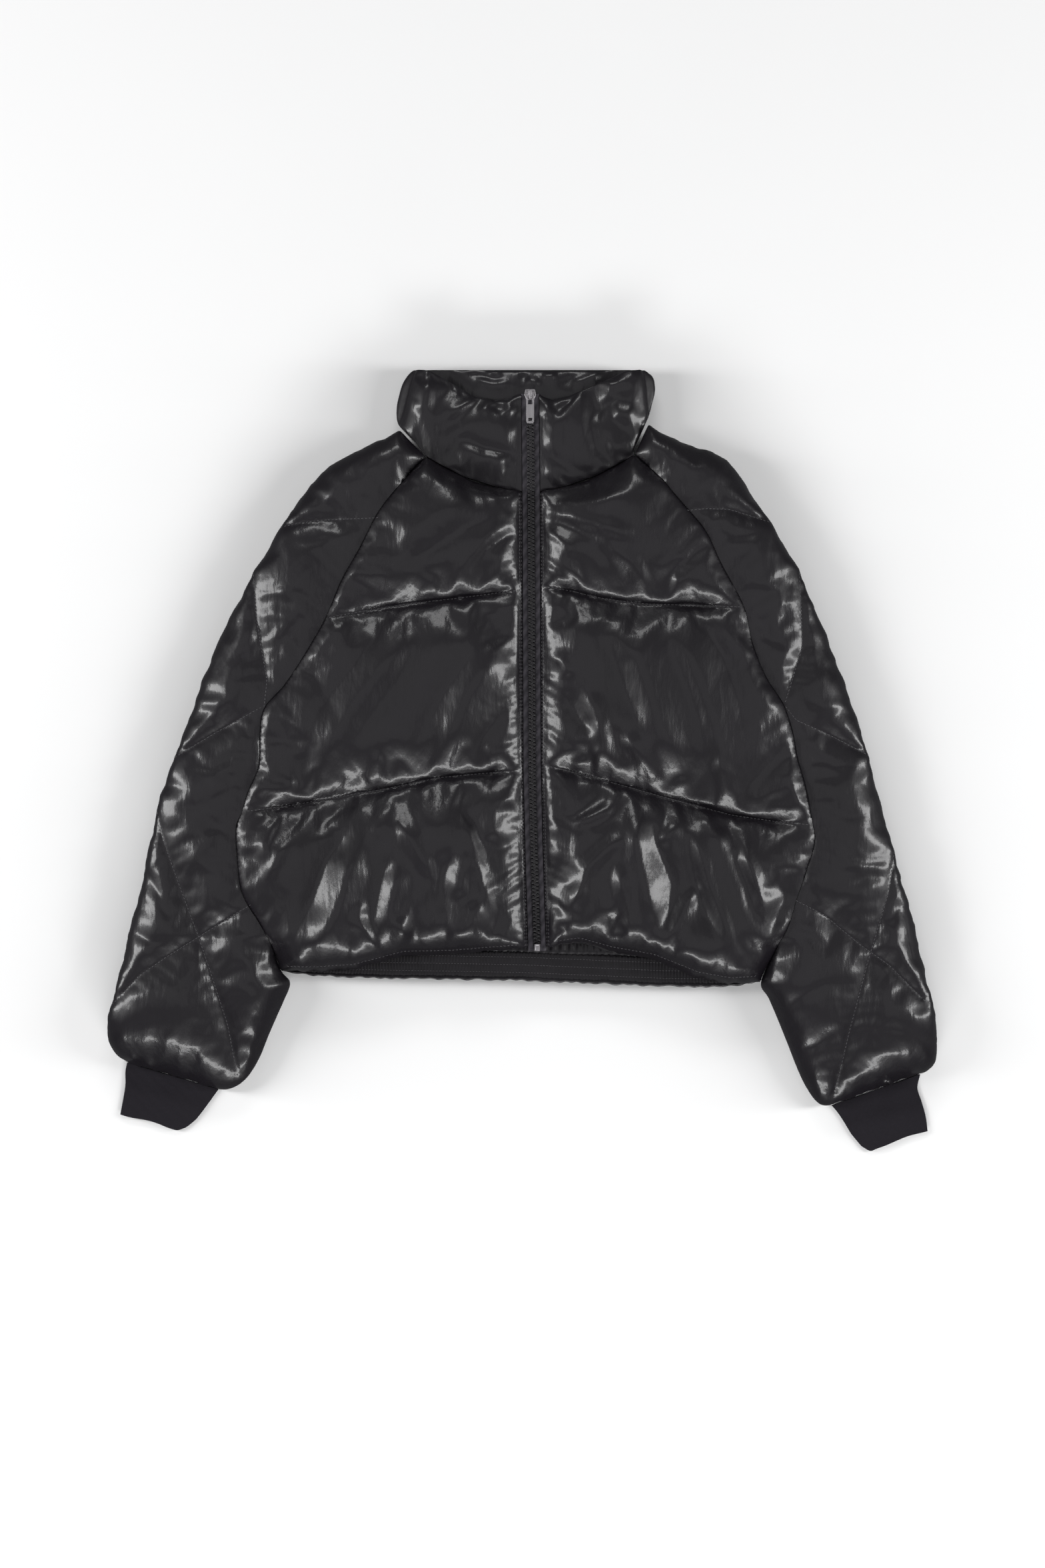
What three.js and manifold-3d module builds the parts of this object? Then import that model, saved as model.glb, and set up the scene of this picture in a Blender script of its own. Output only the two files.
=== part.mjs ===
// A boxy, funnel-necked puffer jacket laid flat on its back, front up, sleeves down at the sides.
// Millimetres, +Z up. +X runs to the wearer's left, +Y to the collar. Heights start at the surface
// the jacket lies on. Plan positions are first given from the lower end of the zip, x outward on
// both halves, and the finished jacket is moved so its box stands centred on the origin.
import * as THREE from "three";
import { mergeVertices } from "three/addons/utils/BufferGeometryUtils.js";
import Module from "manifold-3d";

const wasm = await Module();
wasm.setup();
const { lerp, clamp, smoothstep } = THREE.MathUtils;

// Cloth, padding and seams
const SEAM_GAP = 0.3;
const SEAM_EDGE = 3;
const BACK_LOFT = 26;
const BACK_EDGE = 6.5;
const FRONT_INSIDE = BACK_LOFT + SEAM_GAP;
const FRONT_LIFT = 9;
const FRONT_PUFF = 31;
const SLEEVE_LIFT = 16;
const SLEEVE_PUFF = 15;
const SLEEVE_DEPTH = 28;
const SLEEVE_FOLD = 3.2;
const CUFF_END_MIDDLE = 3.2;
const COLLAR_PUFF = 15;
const COLLAR_DEPTH = 26;
const QUILT_POWER = 3.4;

// How far in from each kind of seam the padding reaches its full height
const FRONT_REACH = { neck: 34, hem: 26, zip: 40, side: 48, upper: 50, lower: 54 };
const SLEEVE_REACH = { side: 34, neck: 26, wrist: 46, quilting: 38 };
const BACK_REACH = 30;

// The cloth is held up at these seams, and stays higher this far into the panel beside them
const SIDE_RISE = 27;
const ZIP_RISE = 14;
const NECK_RISE = 9;
const QUILT_RISE = 9;
const SEAM_SPREAD = 40;
const QUILT_SPREAD = 26;
const COLLAR_TOP_RISE = 7;

// Smooth knitted cuffs
const CUFF_HEIGHT = 6;
const CUFF_SLIT = 1.2;
const CUFF_ROLL = 1.6;
const CUFF_SIDE = 3;
const CUFF_ROUND = 5;
const CUFF_ROWS = 4;

// Elastic along the inside of the back hem
const ELASTIC_WIDTH = 25;
const ELASTIC_INSET = 3;
const ELASTIC_RIBS = 118;
const ELASTIC_LOW = 24.2;
const ELASTIC_HIGH = 25.7;
const ELASTIC_FLOOR = 23.3;
const ELASTIC_END = 0.035;

// Separating zip
const TAPE_HALF = 8.75;
const TAPE_THICK = 1;
const ZIP_LIFT = 10;
const TAPE_FLOOR = FRONT_INSIDE + ZIP_LIFT + SEAM_GAP;
const TAPE_TOP = TAPE_FLOOR + TAPE_THICK;
const ZIP_TOP = 543;
const ZIP_BOTTOM = -1;
const SLIDER = { width: 11, length: 10.5, height: 5, noseWidth: 8, corner: 2 };
const BRIDGE = { width: 2.6, length: 8, wall: 1.3, gap: 2.4, root: 0.5 };
const PULL = {
  width: 7.5,
  length: 29,
  thick: 1.6,
  bar: 1.6,
  rail: 1.25,
  ring: 9,
  window: 3.5,
  windowWidth: 4.8,
  end: 2.2,
};
const BOX = { width: 5.4, length: 6.6, height: 3.6 };

const table = (columns, rows) => {
  const names = columns.split(" ");
  return rows.map((row) => Object.fromEntries(names.map((name, i) => [name, row[i]])));
};

// One row of each half runs from the zip, over the raglan or side seam (edge), to the outer fold
// of the sleeve (out). Row 0 is the neck, row 5 the upper and row 12 the lower quilting seam,
// row 8 the underarm, row 18 the hem, and the rows after it are sleeve alone, down to the cuff.
const ROW_COLUMNS = "edgeX edgeY zipY outX outY";
const RIGHT_ROWS = table(ROW_COLUMNS, [
  [105, 481, 447, 131, 508],
  [129, 454, 434, 168, 491],
  [151, 426, 416, 203, 471],
  [169, 391, 395, 236, 431],
  [186, 361, 374, 260, 393],
  [202, 323, 351, 284, 351],
  [221, 290, 318, 309, 302],
  [242, 258, 286, 327, 258],
  [262, 235, 260, 339, 223],
  [266, 205, 232, 349, 198],
  [267, 179, 208, 358, 174],
  [278, 153, 187, 365, 151],
  [283, 135, 175, 370, 130],
  [289, 120, 156, 374, 114],
  [288, 91, 124, 380, 88],
  [283, 55, 84, 387, 54],
  [266, 26, 52, 395, 23],
  [255, 5, 26, 400, -1],
  [246, -21, 2, 406, -24],
  [237, -32, 0, 413, -51],
  [244, -51, 0, 417, -72],
  [256, -78, 0, 417, -88],
  [268, -107, 0, 414, -99],
  [281, -127, 0, 408, -106],
  [296, -137, 0, 404, -109],
  [309, -138, 0, 399, -112],
]);
const LEFT_ROWS = table(ROW_COLUMNS, [
  [99, 483, 447, 113, 514],
  [124, 460, 434, 151, 495],
  [140, 441, 419, 187, 482],
  [167, 409, 398, 218, 442],
  [183, 376, 377, 244, 403],
  [205, 334, 355, 265, 362],
  [213, 299, 322, 281, 322],
  [227, 265, 286, 298, 281],
  [243, 240, 260, 312, 247],
  [252, 214, 236, 321, 218],
  [257, 187, 214, 330, 185],
  [265, 159, 197, 338, 156],
  [272, 122, 181, 347, 122],
  [274, 106, 161, 352, 102],
  [266, 78, 128, 360, 75],
  [257, 52, 91, 367, 47],
  [248, 23, 58, 375, 18],
  [237, 2, 32, 381, -6],
  [222, -32, 2, 388, -36],
  [229, -46, 0, 393, -58],
  [238, -66, 0, 396, -80],
  [249, -93, 0, 397, -98],
  [261, -123, 0, 395, -111],
  [272, -143, 0, 391, -118],
  [282, -153, 0, 386, -123],
  [293, -153, 0, 380, -123],
]);
const UNDERARM = 8;
const HEM = 18;
const CUFF_SEAM = 25;
const CHAMBERS = [0, 5, 12, HEM];

// How far each seam of a front bows off its straight chord, from the zip (0) to the edge (1).
const BOW_COLUMNS = "t neck upper lower hem";
const RIGHT_BOW = table(BOW_COLUMNS, [
  [0, 0, 0, 0, 0],
  [0.15, -3, 0.5, 3, 0],
  [0.3, -5, 1, 5, 0],
  [0.5, -7, 2, 1.5, 3.5],
  [0.7, -5, 2.5, 0.5, -5],
  [0.85, -3, 1.5, -1, -4],
  [1, 0, 0, 0, 0],
]);
const LEFT_BOW = table(BOW_COLUMNS, [
  [0, 0, 0, 0, 0],
  [0.15, -3, -2, -1, 10],
  [0.3, -5, -6, -3, 6],
  [0.5, -7, -7, -6, 5],
  [0.7, -5, -4, -8, -6],
  [0.85, -3, -2, -5, -7],
  [1, 0, 0, 0, 0],
]);
// The back's hem, from the wearer's right (0) to the left (1).
const BACK_BOW = table("t hem", [
  [0, 0], [0.05, -3.5], [0.15, -5], [0.5, -4], [0.8, -6.5], [0.93, -5.5], [1, 0],
]);
const ZIP_LINE = table("y x", [[-3, 4], [90, 1], [175, -1], [432, -2], [548, -3]]);

// Quilting of the sleeves, x outward and y: a cross seam at the shoulder, then large diamonds.
const RIGHT_QUILTING = [
  [[150, 421], [176, 420], [203, 419], [228, 416], [251, 411]],
  [[273, 374], [270, 328], [266, 300], [259, 263], [262, 236]],
  [[356, 184], [309, 212], [264, 237]],
  [[368, 142], [360, 106], [345, 64], [326, 13], [313, -25], [298, -73], [287, -130]],
  [[414, -57], [384, -25], [358, -7], [326, 13], [294, 33], [274, 45]],
];
const LEFT_QUILTING = [
  [[149, 428], [170, 430], [192, 429], [238, 415]],
  [[259, 376], [261, 333], [262, 295], [252, 263], [243, 240]],
  [[243, 239], [256, 224], [292, 208], [331, 187]],
  [[355, 97], [346, 56], [330, 2], [325, -14], [308, -80], [292, -150]],
  [[255, 49], [284, 34], [319, 5], [346, -14], [386, -52]],
];

// The largest folds of the fronts: height (down is a crease, up a ridge), half width, run.
const FOLD_COLUMNS = "height width run";
const RIGHT_FOLDS = table(FOLD_COLUMNS, [
  [-11, 12, [[140, 157], [166, 124], [198, 83], [210, 42], [233, -3]]],
  [-8, 10, [[248, 132], [265, 75], [263, 34]]],
  [-10, 10, [[185, 46], [191, -13]]],
  [-9, 10, [[164, 114], [165, 70], [164, 39], [153, 1]]],
  [8, 10, [[142, 135], [124, 116], [112, 90], [94, 62]]],
  [-9, 11, [[74, 127], [60, 105], [48, 55], [34, 33]]],
  [-9, 10, [[90, 75], [90, 17]]],
  [6, 9, [[131, 86], [142, 49], [153, 8]]],
  [-7, 10, [[14, 168], [33, 142], [40, 93]]],
  [5, 14, [[61, 263], [88, 187]]],
  [-7, 14, [[23, 268], [115, 219], [159, 164]]],
  [-7, 11, [[120, 333], [140, 306], [176, 280]]],
  [-6, 10, [[17, 321], [31, 304], [43, 280]]],
  [-8, 11, [[12, 421], [47, 405], [73, 387], [99, 358], [109, 339]]],
  [-5, 10, [[64, 370], [78, 344]]],
]);
const LEFT_FOLDS = table(FOLD_COLUMNS, [
  [-10, 11, [[94, 149], [99, 114], [105, 73], [119, 49], [125, 10]]],
  [-9, 13, [[101, 154], [112, 116], [124, 92], [142, 59]]],
  [-8, 11, [[149, 124], [167, 79], [172, 55], [187, 20], [192, 1]]],
  [-7, 11, [[192, 114], [205, 79], [225, 36], [230, 10]]],
  [7, 10, [[92, 114], [72, 92], [42, 62], [26, 44]]],
  [-8, 10, [[64, 66], [51, 43], [34, 11]]],
  [6, 10, [[147, 124], [122, 99], [107, 81]]],
  [-7, 10, [[167, 68], [142, 29], [127, 7]]],
  [-5, 9, [[182, 176], [200, 136]]],
  [-8, 12, [[51, 342], [98, 307], [108, 274], [139, 250]]],
  [-7, 12, [[122, 337], [167, 297], [202, 232]]],
  [-6, 9, [[10, 294], [21, 289], [31, 276], [38, 260], [46, 250]]],
  [-7, 10, [[10, 432], [87, 420], [148, 392]]],
  [-7, 10, [[10, 396], [35, 385], [52, 364], [56, 347]]],
]);

// Cuff rows from the sleeve end to the wrist: inner side (edge) and outer side (out).
const RIGHT_CUFF = table("edgeX edgeY outX outY", [
  [309.6, -138.6, 399.4, -112.5],
  [317, -149, 401, -121],
  [325, -160, 401, -134],
  [333, -170, 403, -147],
  [342, -179, 406, -163],
]);
const LEFT_CUFF = table("edgeX edgeY outX outY", [
  [293.8, -154.4, 380.6, -124.2],
  [300, -162, 378, -137],
  [307, -173, 382, -150],
  [314, -185, 386, -164],
  [324, -200, 388, -179],
]);

// Collar stations of one half, from the zip round the fold to the centre back: where each stands
// on the neck seam, its upper edge, the way the outer face looks (turn 0 up, 90 sideways at the
// fold, 180 down) and its share of the padding.
const COLLAR_COLUMNS = "neckX neckY topX topY turn puff";
const FRONT_NECK_STEPS = [0, 0.05, 0.14, 0.28, 0.6, 0.82, 1];
const COLLAR_TOP_RIGHT = [[9, 543], [13, 542], [22, 538], [35, 537], [56, 541], [78, 554], [97, 565]];
const COLLAR_TOP_LEFT = [[9, 543], [13, 540], [22, 537], [38, 541], [62, 551], [80, 559], [92, 565]];
const FRONT_PUFF_SHARES = [0.75, 0.85, 1, 1, 1, 1, 1];
const RIGHT_COLLAR_FOLD = table(COLLAR_COLUMNS, [
  [115, 495.5, 103, 566, 0, 1],
  [116, 496.5, 104, 566.5, 45, 0.85],
  [116, 496.5, 104, 566.5, 90, 0.75],
  [116, 496.5, 104, 566.5, 135, 0.85],
  [115, 495.5, 103, 567, 180, 1],
  [104, 485, 92, 567, 180, 1],
  [60, 485, 55, 567, 180, 1],
  [0, 485, 0, 567, 180, 1],
]);
const LEFT_COLLAR_FOLD = table(COLLAR_COLUMNS, [
  [97.5, 486.5, 95, 566, 0, 1],
  [98, 487.5, 96, 566.5, 45, 0.85],
  [98, 487.5, 96, 566.5, 90, 0.7],
  [98, 487.5, 96, 566.5, 135, 0.85],
  [97.5, 486.5, 95, 567, 180, 1],
  [90, 485, 84, 567, 180, 1],
  [55, 485, 50, 567, 180, 1],
  [0, 485, 0, 567, 180, 1],
]);

const HALVES = {
  right: {
    side: -1,
    rows: RIGHT_ROWS,
    bow: RIGHT_BOW,
    quilting: RIGHT_QUILTING,
    folds: RIGHT_FOLDS,
    cuff: RIGHT_CUFF,
    collar: COLLAR_TOP_RIGHT,
    collarFold: RIGHT_COLLAR_FOLD,
    neckSlope: 1.05,
  },
  left: {
    side: 1,
    rows: LEFT_ROWS,
    bow: LEFT_BOW,
    quilting: LEFT_QUILTING,
    folds: LEFT_FOLDS,
    cuff: LEFT_CUFF,
    collar: COLLAR_TOP_LEFT,
    collarFold: LEFT_COLLAR_FOLD,
    neckSlope: 2.25,
  },
};

// A smooth curve through one column of a table, read at a fractional row.
function follow(rows, column, at) {
  const last = rows.length - 1;
  const i = clamp(Math.floor(at), 0, last - 1);
  const t = at - i;
  const [a, b, c, d] = [-1, 0, 1, 2].map((k) => rows[clamp(i + k, 0, last)][column]);
  return b + 0.5 * t * (c - a + t * (2 * a - 5 * b + 4 * c - d + t * (3 * (b - c) + d - a)));
}

// Straight interpolation of one column of a table against another.
function between(rows, key, column, value) {
  const k = clamp(rows.findIndex((row) => row[key] > value), 1, rows.length - 1);
  const upper = value >= rows[rows.length - 1][key] ? rows.length - 1 : k;
  const [low, high] = [rows[upper - 1], rows[upper]];
  const t = clamp((value - low[key]) / (high[key] - low[key]), 0, 1);
  return lerp(low[column], high[column], t);
}

// Distance in plan from a point to a run of straight pieces, and how far along it that falls.
function nearest(x, y, run) {
  let best = { distance: Infinity, along: 0 };
  for (let i = 0; i + 1 < run.length; i += 1) {
    const [ax, ay] = run[i];
    const [dx, dy] = [run[i + 1][0] - ax, run[i + 1][1] - ay];
    const t = clamp(((x - ax) * dx + (y - ay) * dy) / (dx * dx + dy * dy), 0, 1);
    const distance = Math.hypot(x - ax - dx * t, y - ay - dy * t);
    if (distance < best.distance) {
      best = { distance, along: (i + t) / (run.length - 1) };
    }
  }
  return best;
}

// Circular and softer rounding up from a seam, and the blended nearness to several seams at once.
const rounded = (q) => Math.sqrt(1 - (1 - clamp(q, 0, 1)) ** 2);
const softened = (q) => rounded(q) ** 2;
function nearness(x, y, seams) {
  let sum = 0;
  for (const seam of seams) {
    const q = Math.max(nearest(x, y, seam.run).distance, 0.001) / seam.reach;
    sum += q ** -QUILT_POWER;
  }
  return sum ** (-1 / QUILT_POWER);
}

// Steps from 0 to 1 that crowd towards both ends, where padding turns down to a seam.
function crowded(count, amount) {
  const steps = [];
  for (let k = 0; k <= count; k += 1) {
    steps.push(lerp(k / count, 0.5 - 0.5 * Math.cos((Math.PI * k) / count), amount));
  }
  return steps;
}

const zipX = (y) => between(ZIP_LINE, "y", "x", y);

function frontPoint(half, row, t) {
  const edgeX = half.side * follow(half.rows, "edgeX", row);
  const edgeY = follow(half.rows, "edgeY", row);
  const zipY = follow(half.rows, "zipY", row);
  const startX = zipX(zipY) + half.side * (TAPE_HALF + SEAM_GAP);
  const seams = ["neck", "upper", "lower", "hem"].map((name, i) => ({
    row: CHAMBERS[i],
    bow: between(half.bow, "t", name, t),
  }));
  return [lerp(startX, edgeX, t), lerp(zipY, edgeY, t) + between(seams, "row", "bow", row)];
}

function sleevePoint(half, row, t) {
  const [ex, ey] = [follow(half.rows, "edgeX", row), follow(half.rows, "edgeY", row)];
  const [ox, oy] = [follow(half.rows, "outX", row), follow(half.rows, "outY", row)];
  const length = Math.hypot(ox - ex, oy - ey);
  const along = lerp(SEAM_GAP * 1.6, length, t) / length;
  return [half.side * lerp(ex, ox, along), lerp(ey, oy, along)];
}

const sleeveLength = (half, row) => {
  const [a, b] = [sleevePoint(half, row, 0), sleevePoint(half, row, 1)];
  return Math.hypot(a[0] - b[0], a[1] - b[1]);
};

function backPoint(row, t) {
  const [right, left] = [RIGHT_ROWS, LEFT_ROWS];
  const x = lerp(-follow(right, "edgeX", row), follow(left, "edgeX", row), t);
  const y = lerp(follow(right, "edgeY", row), follow(left, "edgeY", row), t);
  return [x, y + between(BACK_BOW, "t", "hem", t) * smoothstep(row, HEM - 2, HEM)];
}

const runOf = (count, point) => Array.from({ length: count + 1 }, (_, k) => point(k / count));

const firstOf = (list) => list[0];
const lastOf = (list) => list[list.length - 1];

// A closed body from its triangles. The winding is turned if it came out inside out.
function solid(triangles) {
  const total = (sum, [a, b, c]) => sum + a.dot(new THREE.Vector3().crossVectors(b, c));
  const outward = triangles.reduce(total, 0) > 0;
  const points = triangles.flatMap(([a, b, c]) => (outward ? [a, b, c] : [a, c, b]));
  return new THREE.BufferGeometry().setFromPoints(points);
}

// The triangles of a grid. Each cell is split along the diagonal that keeps a valley sharp.
function gridTriangles(grid) {
  const triangles = [];
  for (let i = 0; i + 1 < grid.length; i += 1) {
    for (let j = 0; j + 1 < grid[i].length; j += 1) {
      const [a, b] = [grid[i][j], grid[i][j + 1]];
      const [c, d] = [grid[i + 1][j + 1], grid[i + 1][j]];
      const split = a.z + c.z <= b.z + d.z;
      triangles.push(...(split ? [[a, b, c], [a, c, d]] : [[a, b, d], [b, c, d]]));
    }
  }
  return triangles;
}

// How far along a run each of its points lies in plan, from 0 to 1.
function shares(run) {
  const reach = [0];
  for (let k = 1; k < run.length; k += 1) {
    reach.push(reach[k - 1] + Math.hypot(run[k].x - run[k - 1].x, run[k].y - run[k - 1].y));
  }
  return reach.map((length) => length / lastOf(reach));
}

// Triangles between two runs that need not have the same number of points.
function stitched(first, second) {
  const even = first.length === second.length;
  const index = (run) => run.map((p, k) => k / (run.length - 1));
  const [firstShare, secondShare] = even ? [index(first), index(second)] : [shares(first), shares(second)];
  const triangles = [];
  let [i, j] = [0, 0];
  while (i + 1 < first.length || j + 1 < second.length) {
    const firstNext = i + 1 < first.length && firstShare[i + 1] <= (secondShare[j + 1] ?? 2);
    if (firstNext) {
      triangles.push([first[i], first[i + 1], second[j]]);
      i += 1;
    } else {
      triangles.push([first[i], second[j + 1], second[j]]);
      j += 1;
    }
  }
  return triangles;
}

const reversed = (triangles) => triangles.map(([a, b, c]) => [a, c, b]);
const column = (grid, pick) => grid.map((row) => pick(row));

// A body between two grids with equal rows, closed by walls all round.
function shell(outer, inner) {
  return solid([
    ...gridTriangles(outer),
    ...reversed(gridTriangles(inner)),
    ...stitched(column(outer, firstOf), column(inner, firstOf)),
    ...reversed(stitched(column(outer, lastOf), column(inner, lastOf))),
    ...reversed(stitched(firstOf(outer), firstOf(inner))),
    ...stitched(lastOf(outer), lastOf(inner)),
  ]);
}

// A body between a shaped grid and a plain flat face at one height.
function slab(grid, height) {
  const rim = [
    ...firstOf(grid).slice(0, -1),
    ...column(grid, lastOf).slice(0, -1),
    ...[...lastOf(grid)].reverse().slice(0, -1),
    ...column(grid, firstOf).reverse().slice(0, -1),
  ];
  const base = rim.map((p) => new THREE.Vector3(p.x, p.y, height));
  const flat = base.map((p) => new THREE.Vector2(p.x, p.y));
  const ring = (points) => [...points, points[0]];
  const corners = THREE.ShapeUtils.triangulateShape(flat, []);
  const area = (triangle) => THREE.ShapeUtils.area(triangle.map((k) => flat[k]));
  const total = corners.reduce((sum, triangle) => sum + area(triangle), 0);
  const sameSense = total * THREE.ShapeUtils.area(flat) > 0;
  const face = corners.map((triangle) => triangle.map((k) => base[k]));
  return solid([
    ...gridTriangles(grid),
    ...reversed(stitched(ring(rim), ring(base))),
    ...(sameSense ? reversed(face) : face),
  ]);
}

function toManifold(geometry) {
  const plain = geometry.clone();
  plain.deleteAttribute("normal");
  plain.deleteAttribute("uv");
  const merged = mergeVertices(plain, 1e-4);
  const vertProperties = new Float32Array(merged.attributes.position.array);
  const triVerts = new Uint32Array(merged.index.array);
  return new wasm.Manifold(new wasm.Mesh({ numProp: 3, vertProperties, triVerts }));
}

function fromManifold(body) {
  const { vertProperties, triVerts } = body.getMesh();
  const geometry = new THREE.BufferGeometry();
  geometry.setAttribute("position", new THREE.BufferAttribute(vertProperties, 3));
  geometry.setIndex(new THREE.BufferAttribute(triVerts, 1));
  return geometry.toNonIndexed();
}

const cutAway = (body, ...tools) =>
  fromManifold(tools.reduce((rest, tool) => rest.subtract(toManifold(tool)), toManifold(body)));
const joined = (body, ...others) =>
  fromManifold(others.reduce((sum, other) => sum.add(toManifold(other)), toManifold(body)));

// The rows of every body piece, which the sleeves share so that the seams run side by side.
const CHAMBER_STEPS = 11;
const BODY_ROWS = CHAMBERS.slice(1).reduce((rows, end, k) => {
  const steps = crowded(CHAMBER_STEPS, 0.7).slice(1);
  return [...rows, ...steps.map((s) => lerp(CHAMBERS[k], end, s))];
}, [0]);

// Height of the cloth where a seam holds it up, and of the padding that starts from there.
const held = (rise, distance, spread = SEAM_SPREAD) => rise * Math.exp(-((distance / spread) ** 2));
const nearestOf = (x, y, runs) => Math.min(...runs.map((run) => nearest(x, y, run).distance));
const lifted = (seam, height, full) => seam + height * (1 - seam / full);
const SIDE_SHARE = table("row share", [[0, 0.5], [1.2, 1], [16.5, 1], [HEM, 0.2], [HEM + 1, 0]]);
const sideRise = (row) => SIDE_RISE * between(SIDE_SHARE, "row", "share", row);
const frontWidth = (half, row) => {
  const [a, b] = [frontPoint(half, row, 0), frontPoint(half, row, 1)];
  return Math.hypot(a[0] - b[0], a[1] - b[1]);
};

// Fronts: three padded channels over a plain inside, held up at the sides, neck and zip.
const FRONT_COLUMNS = 22;
function front(half) {
  const atRow = (row) => runOf(14, (t) => frontPoint(half, row, t));
  const atColumn = (t) => runOf(30, (s) => frontPoint(half, s * HEM, t));
  const outline = [
    { run: atRow(0), reach: FRONT_REACH.neck },
    { run: atRow(HEM), reach: FRONT_REACH.hem },
    { run: atColumn(0), reach: FRONT_REACH.zip },
    { run: atColumn(1), reach: FRONT_REACH.side },
  ];
  const [upper, lower] = [atRow(CHAMBERS[1]), atRow(CHAMBERS[2])];
  const seams = [
    ...outline,
    { run: upper, reach: FRONT_REACH.upper },
    { run: lower, reach: FRONT_REACH.lower },
  ];
  const grid = BODY_ROWS.map((row) => crowded(FRONT_COLUMNS, 0.45).map((t) => {
    const [x, y] = frontPoint(half, row, t);
    const puff = rounded(nearness(x, y, seams));
    let height = FRONT_LIFT * rounded(nearness(x, y, outline)) + FRONT_PUFF * puff;
    for (const fold of half.folds) {
      const { distance, along } = nearest(half.side * x, y, fold.run);
      const ends = clamp(5 * Math.min(along, 1 - along), 0, 1);
      height += puff * ends * fold.height * Math.exp(-((distance / fold.width) ** 2));
    }
    const width = frontWidth(half, row);
    const side = held(sideRise(row), (1 - t) * width);
    const zip = held(ZIP_RISE, t * width);
    const neck = held(NECK_RISE, nearestOf(x, y, [outline[0].run]));
    const quilt = held(QUILT_RISE, nearestOf(x, y, [upper, lower]), QUILT_SPREAD);
    const seam = Math.max(side, zip, neck, quilt);
    const top = lifted(seam, Math.max(height, 0), FRONT_LIFT + FRONT_PUFF);
    return new THREE.Vector3(x, y, FRONT_INSIDE + SEAM_EDGE + top);
  }));
  return slab(grid, FRONT_INSIDE);
}

// Back: rests flat, turned up to a thin edge all round, with a plain inside.
const BACK_INSETS = [0, 2.5, 7, 14, 26];
function back() {
  const rim = [
    ...runOf(12, (t) => backPoint(0, t)),
    ...runOf(40, (s) => backPoint(s * HEM, 1)),
    ...runOf(20, (t) => backPoint(HEM, 1 - t)),
    ...runOf(40, (s) => backPoint((1 - s) * HEM, 0)),
  ];
  const apart = (p, k) => k === 0 || Math.hypot(p[0] - rim[k - 1][0], p[1] - rim[k - 1][1]) > 0.01;
  const edge = [{ run: rim.filter(apart), reach: BACK_REACH }];
  const grid = BODY_ROWS.map((row) => {
    const [a, b] = [backPoint(row, 0), backPoint(row, 1)];
    const length = Math.hypot(a[0] - b[0], a[1] - b[1]);
    const low = BACK_INSETS.map((inset) => inset / length);
    const steps = [...low, 0.3, 0.5, 0.7, ...low.map((s) => 1 - s).reverse()];
    return steps.map((t) => {
      const [x, y] = backPoint(row, t);
      const height = BACK_LOFT - BACK_EDGE - BACK_LOFT * rounded(nearness(x, y, edge));
      return new THREE.Vector3(x, y, Math.max(height, 0));
    });
  });
  return cutAway(slab(grid, BACK_LOFT), elasticRecess());
}

// Elastic: a ribbed ribbon let into the inside of the back just above its hem.
const elasticLine = (steps, offset, height) => steps.map((t) => {
  const [x, y] = backPoint(HEM, t);
  return new THREE.Vector3(x, y + offset, height);
});
const hemBends = (end) => [end, ...BACK_BOW.slice(1, -1).map((row) => row.t), 1 - end];
const [ELASTIC_FOOT, ELASTIC_HEAD] = [ELASTIC_INSET, ELASTIC_INSET + ELASTIC_WIDTH];

function elasticRecess() {
  const steps = hemBends(ELASTIC_END - 0.001);
  const pair = (height) => [
    elasticLine(steps, ELASTIC_FOOT - SEAM_GAP, height),
    elasticLine(steps, ELASTIC_HEAD + SEAM_GAP, height),
  ];
  return shell(pair(BACK_LOFT + 4), pair(ELASTIC_FLOOR - SEAM_GAP));
}

function elastic() {
  const steps = runOf(ELASTIC_RIBS * 2, (s) => lerp(ELASTIC_END, 1 - ELASTIC_END, s));
  const ribbed = (offset) => elasticLine(steps, offset, 0).map((p, k) =>
    p.setZ(k % 2 ? ELASTIC_HIGH : ELASTIC_LOW));
  const base = (offset) => elasticLine(hemBends(ELASTIC_END), offset, ELASTIC_FLOOR);
  return shell([ribbed(ELASTIC_FOOT), ribbed(ELASTIC_HEAD)], [base(ELASTIC_FOOT), base(ELASTIC_HEAD)]);
}

// Sleeves: padded tubes pressed flat, open along the raglan seam and at the cuff.
const LOWER_STEPS = 2 * (CUFF_SEAM - HEM);
const SLEEVE_COLUMNS = 18;
const UNDER_INSETS = [0, 2, 6, 12, 20];
const middleHeight = (row) =>
  lerp(BACK_LOFT + SEAM_GAP / 2, CUFF_END_MIDDLE, smoothstep(row, HEM + 0.5, CUFF_SEAM));

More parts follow.
